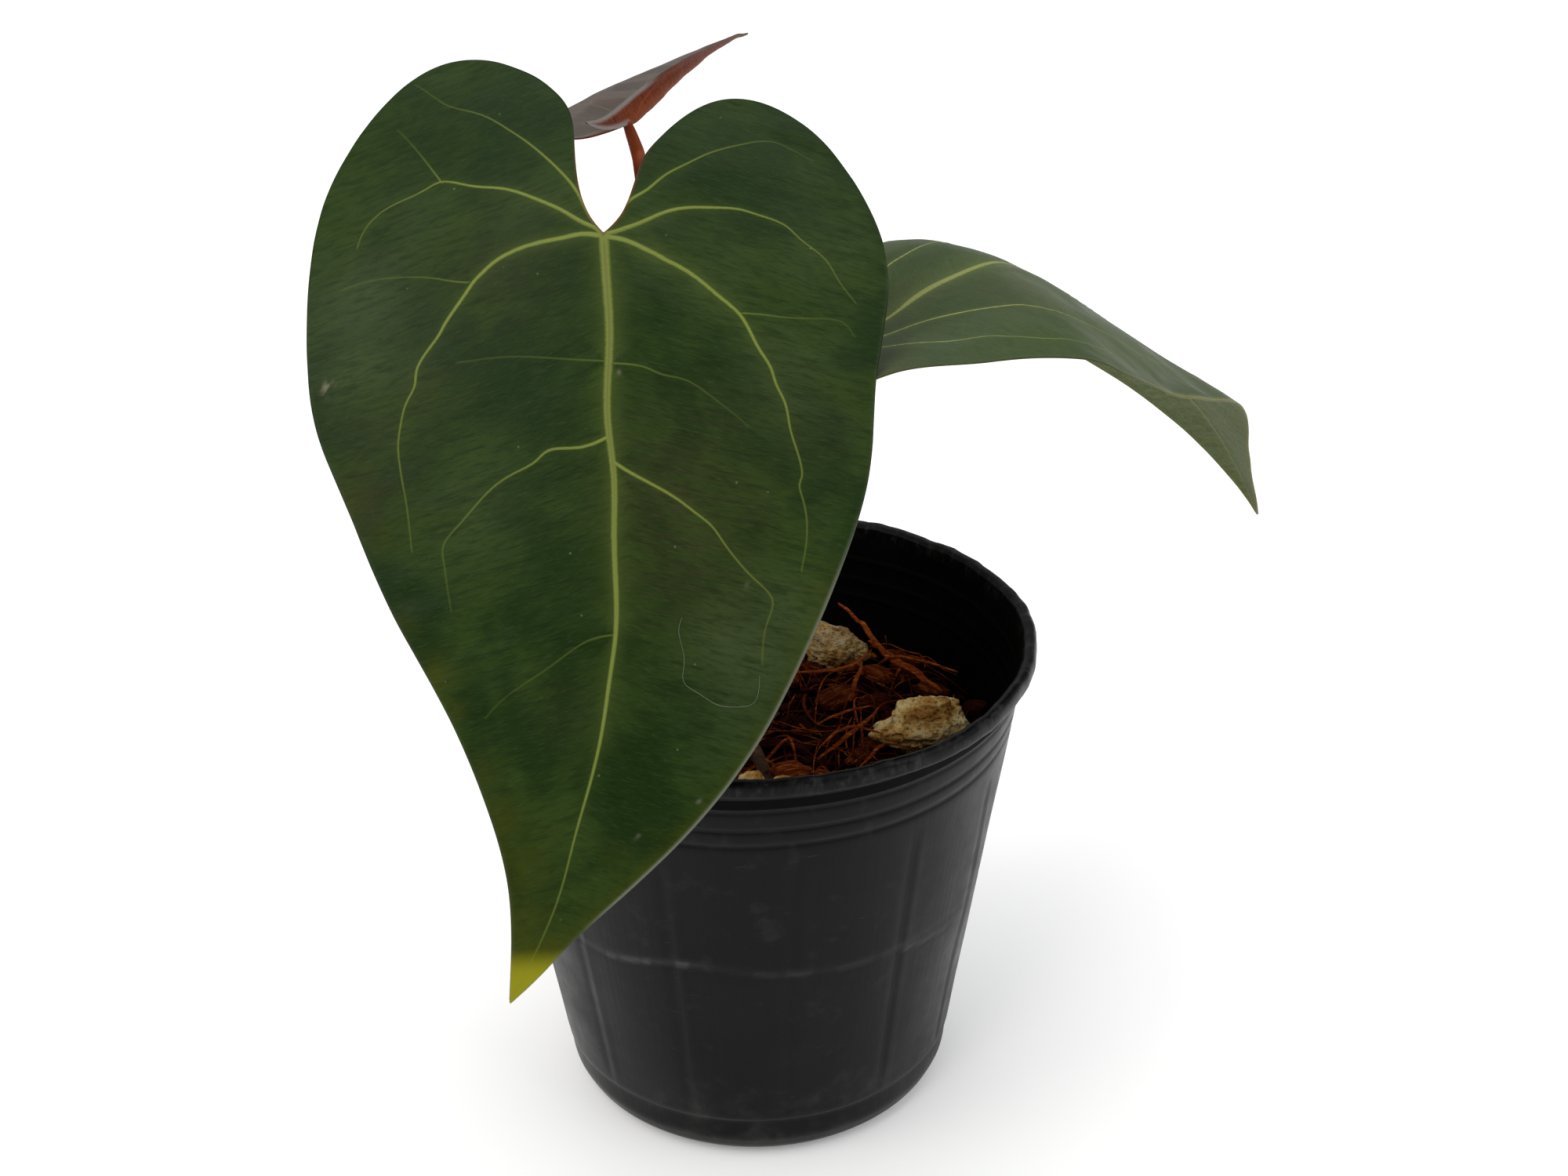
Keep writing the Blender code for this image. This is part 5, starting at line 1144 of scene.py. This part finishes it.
def build_bed():
    peat = earthy("bed_dark", (0.0020, 0.0003, 0.0001), (0.0090, 0.0012, 0.0003), (0.050, 0.0090, 0.0015), 0.9, (1, 1, 1), 0.95, 1.0, 0.6, 0.03)
    husk = earthy("husk_brown", (0.0120, 0.0014, 0.0003), (0.095, 0.0130, 0.0012), (0.340, 0.098, 0.0100), 1.1, (0.20, 1.5, 1.5), 0.9, 0.9, 0.4, 0.06, "own_mm")
    strand = earthy("fibre_rust", (0.030, 0.0034, 0.0004), (0.170, 0.0260, 0.0024), (0.420, 0.120, 0.0130), 0.8, (0.3, 1.4, 1.4), 0.8, 0.6, 0.15, 0.05, "own_mm")

    # the bed itself: a lumpy top on a plug that fills the pot
    rim = wall_radius(77.2) - WALL - 0.35
    rings, sides = 150, 320
    r = np.concatenate([[0], rim * np.linspace(0.004, 1, rings)])
    turn = np.linspace(0, 2 * np.pi, sides, endpoint=False)
    x, y = np.outer(r, np.cos(turn)), np.outer(r, np.sin(turn))
    z = bed_height(x.ravel(), y.ravel()).reshape(x.shape)
    z = z - 1.5 * fade(r, rim - 2.5, rim)[:, None]
    z[0] = z[0].mean()
    top = np.stack([x, y, z], -1).reshape(-1, 3)
    lower = [(rim + 0.05, 72.0), (wall_radius(40.0) - WALL - 0.35, 40.0), (wall_radius(6.0) - WALL - 0.35, 6.2), (39.5, 3.7), (37.3, 2.2), (34.8, FLOOR + 0.4), (20.0, FLOOR + 0.4), (0.0, FLOOR + 0.4)]
    rest, _ = revolve(lower, sides)
    points = np.concatenate([top, rest])
    total = len(r) + len(lower)
    bed = mesh_of("husk_bed", points, [grid_faces(total, sides, wrap=True)], [peat], weld=1e-3, tone=0.30 + 0.6 * noise(points, 5.0, 211, 2))

    rng = np.random.default_rng(20)
    blocked = [(sx, sy, 0.82 * max(a, b)) for sx, sy, a, b, c, _, _ in STONES] + [(*CROWN_XY, 9.5)]

    def free(px, py, room):
        return all(math.hypot(px - bx, py - by) > br + room for bx, by, br in blocked)

    # torn chips of husk, the named ones first
    pile = Pile()
    for cx, cy, length, width, thick, yaw, tilt in CHIPS:
        p, quads = chunk(rng, length * 1.02, width * 1.05, thick * 1.1)
        own = p * (1, 1, 1) + rng.uniform(0, 90, 3)
        p = turned_by(p, math.radians(yaw), math.radians(tilt), 0) + (cx, cy, chip_centre(length, thick, tilt) - 0.2)
        pile.add(p, quads, tone=rng.uniform(0.45, 0.85), own_mm=own)
    chalk = Pile()
    crumb_rng = np.random.default_rng(77)
    for cx, cy, cz, length, width, thick, yaw, pale in CRUMBS:
        p, quads = chunk(crumb_rng, length, width, thick)
        own = p + crumb_rng.uniform(0, 90, 3)
        p = turned_by(p, math.radians(yaw), 0.1, 0.1) + (cx, cy, cz - 0.5 * thick)
        if pale:
            chalk.add(p, quads, stain=0.15, dim=0.0)
        else:
            pile.add(p, quads, tone=1.25, own_mm=own)
    made = 0
    while made < 300:
        far, a = (wall_radius(80) - 2.0) * math.sqrt(rng.uniform()), rng.uniform(0, 2 * math.pi)
        px, py = far * math.cos(a), far * math.sin(a)
        length = rng.uniform(3.0, 9.5) if made < 190 else rng.uniform(1.5, 3.5)
        width, thick = length * rng.uniform(0.28, 0.7), min(2.6, length * rng.uniform(0.12, 0.32))
        room = max(0, far + length * 0.5 - (wall_radius(80) - 1.2))
        if room > 0:
            px, py = px * (1 - room / far), py * (1 - room / far)
        if not free(px, py, length * 0.22):
            continue
        p, quads = chunk(rng, length, width, thick)
        own = p + rng.uniform(0, 90, 3)
        p = turned_by(p, rng.uniform(0, 2 * math.pi), rng.uniform(-0.42, 0.42), rng.uniform(-0.5, 0.5))
        level = float(bed_height(px, py)) + thick * 0.25 + rng.uniform(-0.3, 1.3)
        pile.add(p + (px, py, level), quads, tone=rng.uniform(0.0, 0.85) ** 1.3, own_mm=own)
        made += 1
    chips = pile.make("husk_chips", [husk], weld=1e-4)

    # fibres: five stiff ones, then a loose mat
    pile = Pile()
    for a, b, c, radius in FIBRES:
        line = spline((a, b, c), 40)
        line = line + 0.25 * np.stack([noise(line, 5.0, 301), noise(line, 5.0, 303), noise(line, 5.0, 305)], -1)
        p, quads = tube(line, (radius * 0.6, radius * 1.15, radius * 0.9, radius * 0.35), 12, flat=0.7)
        pile.add(p, quads, tone=0.8, own_mm=np.stack([p[:, 0] * 1.2, p[:, 1] * 1.2, p[:, 2] * 1.2], -1))
    for radius, *ends in STRANDS:
        line = spline(ends, 60)
        line = line + 0.3 * np.stack([noise(line, 4.0, 311), noise(line, 4.0, 313), noise(line, 4.0, 315)], -1)
        p, quads = tube(line, (radius * 0.5, radius * 1.1, radius * 0.95, radius * 0.4), 12, flat=0.6)
        pile.add(p, quads, tone=0.95, own_mm=p * 1.2)
    made = 0
    while made < 420:
        far, a = (wall_radius(80) - 3.0) * math.sqrt(rng.uniform()), rng.uniform(0, 2 * math.pi)
        start = np.array([far * math.cos(a), far * math.sin(a)])
        heading, length = rng.uniform(0, 2 * math.pi), rng.uniform(5, 26)
        turn_rate = rng.normal(0, 0.055)
        n = 22
        angles = heading + turn_rate * np.linspace(0, length, n) + rng.normal(0, 0.12) * np.sin(np.linspace(0, rng.uniform(2, 6), n))
        step = length / (n - 1)
        flat = start + np.concatenate([[[0, 0]], np.cumsum(np.stack([np.cos(angles[:-1]), np.sin(angles[:-1])], -1) * step, axis=0)])
        if np.hypot(*flat.T).max() > wall_radius(80) - 1.6 or (np.hypot(*(flat - np.array(CROWN_XY)).T) < 10).any():
            continue
        s = np.linspace(0, 1, n)
        arch = rng.uniform(0.2, 3.4) * np.sin(np.pi * s) ** 0.8 + rng.uniform(0.3, 1.4)
        soft = np.convolve(np.pad(bed_height(flat[:, 0], flat[:, 1]), 3, mode="edge"), np.ones(7) / 7, mode="valid")
        over = soft + arch
        for sx, sy, sa, sb, sc, _, _ in STONES:
            near = np.hypot(flat[:, 0] - sx, flat[:, 1] - sy)
            if (near < 0.9 * max(sa, sb)).any():
                over = None
                break
        if over is None and rng.uniform() < 0.93:
            continue
        if over is None:
            over = soft + arch
        radius = rng.uniform(0.09, 0.26) if rng.uniform() < 0.85 else rng.uniform(0.28, 0.45)
        p, quads = tube(np.concatenate([flat, over[:, None]], 1), (radius * 0.5, radius, radius * 0.8, radius * 0.3), 6, flat=rng.uniform(0.5, 1))
        pile.add(p, quads, tone=rng.uniform(0.1, 1.0), own_mm=p + rng.uniform(0, 50, 3))
        made += 1
    fibres = pile.make("husk_fibres", [strand], weld=1e-5)

    crumbs = chalk.make("pumice_crumbs", [pumice_material()], weld=1e-4)
    place(crumbs, "pumice")
    place(bed, "mix", "potting_mix")
    place(chips, "husk", *[f"husk_chip_{k + 1}" for k in range(len(CHIPS))])
    place(fibres, "fibre", *[f"coco_fibre_{k + 1}" for k in range(len(FIBRES))])


def sphere(level):
    """Points and quads of a ball made from a cube whose faces are divided and blown out."""
    n = level
    t = np.tan(np.linspace(-math.pi / 4, math.pi / 4, n))
    a, b = np.meshgrid(t, t, indexing="ij")
    one = np.ones_like(a)
    points, quads, start = [], [], 0
    base = grid_faces(n, n)
    for face, turned in (((a, b, one), False), ((a, b, -one), True), ((a, one, b), True), ((a, -one, b), False), ((one, a, b), False), ((-one, a, b), True)):
        p = np.stack(face, -1).reshape(-1, 3)
        points.append(p / np.linalg.norm(p, axis=1)[:, None])
        quads.append((base if turned else base[:, ::-1]) + start)
        start += n * n
    points, quads = np.concatenate(points), np.concatenate(quads)
    facing = np.einsum("ij,ij->i", np.cross(points[quads[:, 1]] - points[quads[:, 0]], points[quads[:, 2]] - points[quads[:, 0]]), points[quads[:, 0]])
    quads[facing < 0] = quads[facing < 0][:, ::-1]
    return points, quads


def build_stones():
    pumice = pumice_material()
    for k, (x, y, a, b, c, yaw, seed) in enumerate(STONES):
        ball, quads = sphere(64 if a > 7 else 44)
        rng = np.random.default_rng(seed)
        sides = rng.normal(size=(9, 3))
        sides /= np.linalg.norm(sides, axis=1)[:, None]
        depths = rng.uniform(0.74, 0.9, 9)
        p = ball.copy()
        for direction, depth in zip(sides, depths):
            p = p - np.maximum(p @ direction - depth, 0)[:, None] * direction * 0.85
        lumps = 0.16 * noise(ball * 1.0, 0.62, 400 + seed, 2) + 0.06 * noise(ball, 0.22, 410 + seed, 2)
        holes = noise(ball, 0.20, 420 + seed)
        pits = -0.085 * fade(holes, 0.38, 0.75) - 0.05 * fade(noise(ball, 0.10, 430 + seed), 0.35, 0.8)
        p = p * (1 + lumps + pits)[:, None]
        if seed == 2:                      # the stone at the back ends in an upright spur
            spur = np.array([-0.78, 0.10, 0.62])
            spur /= np.linalg.norm(spur)
            p = p + spur * (0.85 * np.clip(ball @ spur, 0, 1) ** 7)[:, None]
        if seed == 1:                      # the big one narrows to a beak on one side
            beak = np.array([-0.98, -0.15, 0.1])
            p = p + beak * (0.42 * np.clip(ball @ (beak / np.linalg.norm(beak)), 0, 1) ** 9)[:, None]
        stain = fade(noise(ball, 0.8, 440 + seed, 2), 0.15, 0.75) * (0.9 if seed in (2, 5, 8) else 0.35 if seed == 1 else 0.6) + (0.25 if seed == 1 else 0.5) * fade(-ball[:, 2], 0.1, 0.7)
        p = turned_by(p * (a, b, c), math.radians(yaw), 0, 0) + (x, y, stone_centre(c))
        place(mesh_of(f"stone_{k + 1}", p, [quads], [pumice], weld=1e-3, stain=np.clip(stain, 0, 1), dim=np.full(len(p), 0.0 if seed == 1 else 0.9 if seed == 2 else 0.4)), "pumice", f"pumice_{k + 1}")


# ---- surroundings -------------------------------------------------------------
def build_surroundings():
    scene = bpy.context.scene
    g = Graph("floor_pale", Specular_IOR_Level=0.1, Roughness=0.9, Emission_Color=(1, 1, 1, 1), Emission_Strength=0.16)
    floor_colour = g.ramp(g.noise(g.place(), 3.0, 2, 0.5), (0.3, (0.93, 0.93, 0.93)), (0.7, (0.94, 0.94, 0.94)))
    floor = mesh_of("floor", np.array([(-6000, -6000, 0), (6000, -6000, 0), (6000, 6000, 0), (-6000, 6000, 0)], float), [np.array([[0, 1, 2, 3]])], [g.done(Base_Color=floor_colour)])

    world = bpy.data.worlds.new("studio")
    world.use_nodes = True
    back = world.node_tree.nodes["Background"]
    back.inputs["Color"].default_value = (1.0, 1.0, 1.0, 1)
    back.inputs["Strength"].default_value = 0.42
    scene.world = world

    def lamp(name, place_, aim, size, power, colour=(1, 1, 1)):
        light = bpy.data.lights.new(name, "AREA")
        light.shape, light.size, light.size_y = "RECTANGLE", size[0], size[1]
        light.energy, light.color = power, colour
        made = bpy.data.objects.new(name, light)
        scene.collection.objects.link(made)
        ahead = np.array(aim, float) - np.array(place_, float)
        ahead /= np.linalg.norm(ahead)
        right = np.cross(ahead, (0, 0, 1))
        right /= np.linalg.norm(right)
        up = np.cross(right, ahead)
        m = np.eye(4)
        m[:3, 0], m[:3, 1], m[:3, 2], m[:3, 3] = right, up, -ahead, place_
        made.matrix_world = Matrix(m.tolist())

    lamp("key", (-0.95, -0.75, 1.55), (0, 0, 0.12), (1.6, 1.6), 22.0, (1.0, 0.985, 0.96))
    lamp("fill", (1.5, -0.7, 1.2), (0, 0, 0.12), (1.6, 1.6), 12.0, (0.97, 0.985, 1.0))
    lamp("top", (0.2, 0.6, 2.0), (0, 0, 0.1), (2.0, 2.0), 20.0)

    view = bpy.data.cameras.new("photo_view")
    view.lens, view.sensor_width = CAMERA["lens"], CAMERA["sensor"]
    view.clip_start, view.clip_end = 0.01, 30
    camera = bpy.data.objects.new("photo_view", view)
    m = np.eye(4)
    m[:3, 0], m[:3, 1], m[:3, 2], m[:3, 3] = CAMERA["right"], CAMERA["up"], -np.array(CAMERA["ahead"]), CAMERA["place"]
    camera.matrix_world = Matrix(m.tolist())
    scene.collection.objects.link(camera)
    scene.camera = camera
    scene.view_settings.view_transform = "Standard"
    scene.view_settings.look = "None"


build_surroundings()
build_pot()
build_bed()
build_stones()
build_crown()
build_stalks()
build_leaves()
bpy.context.view_layer.update()
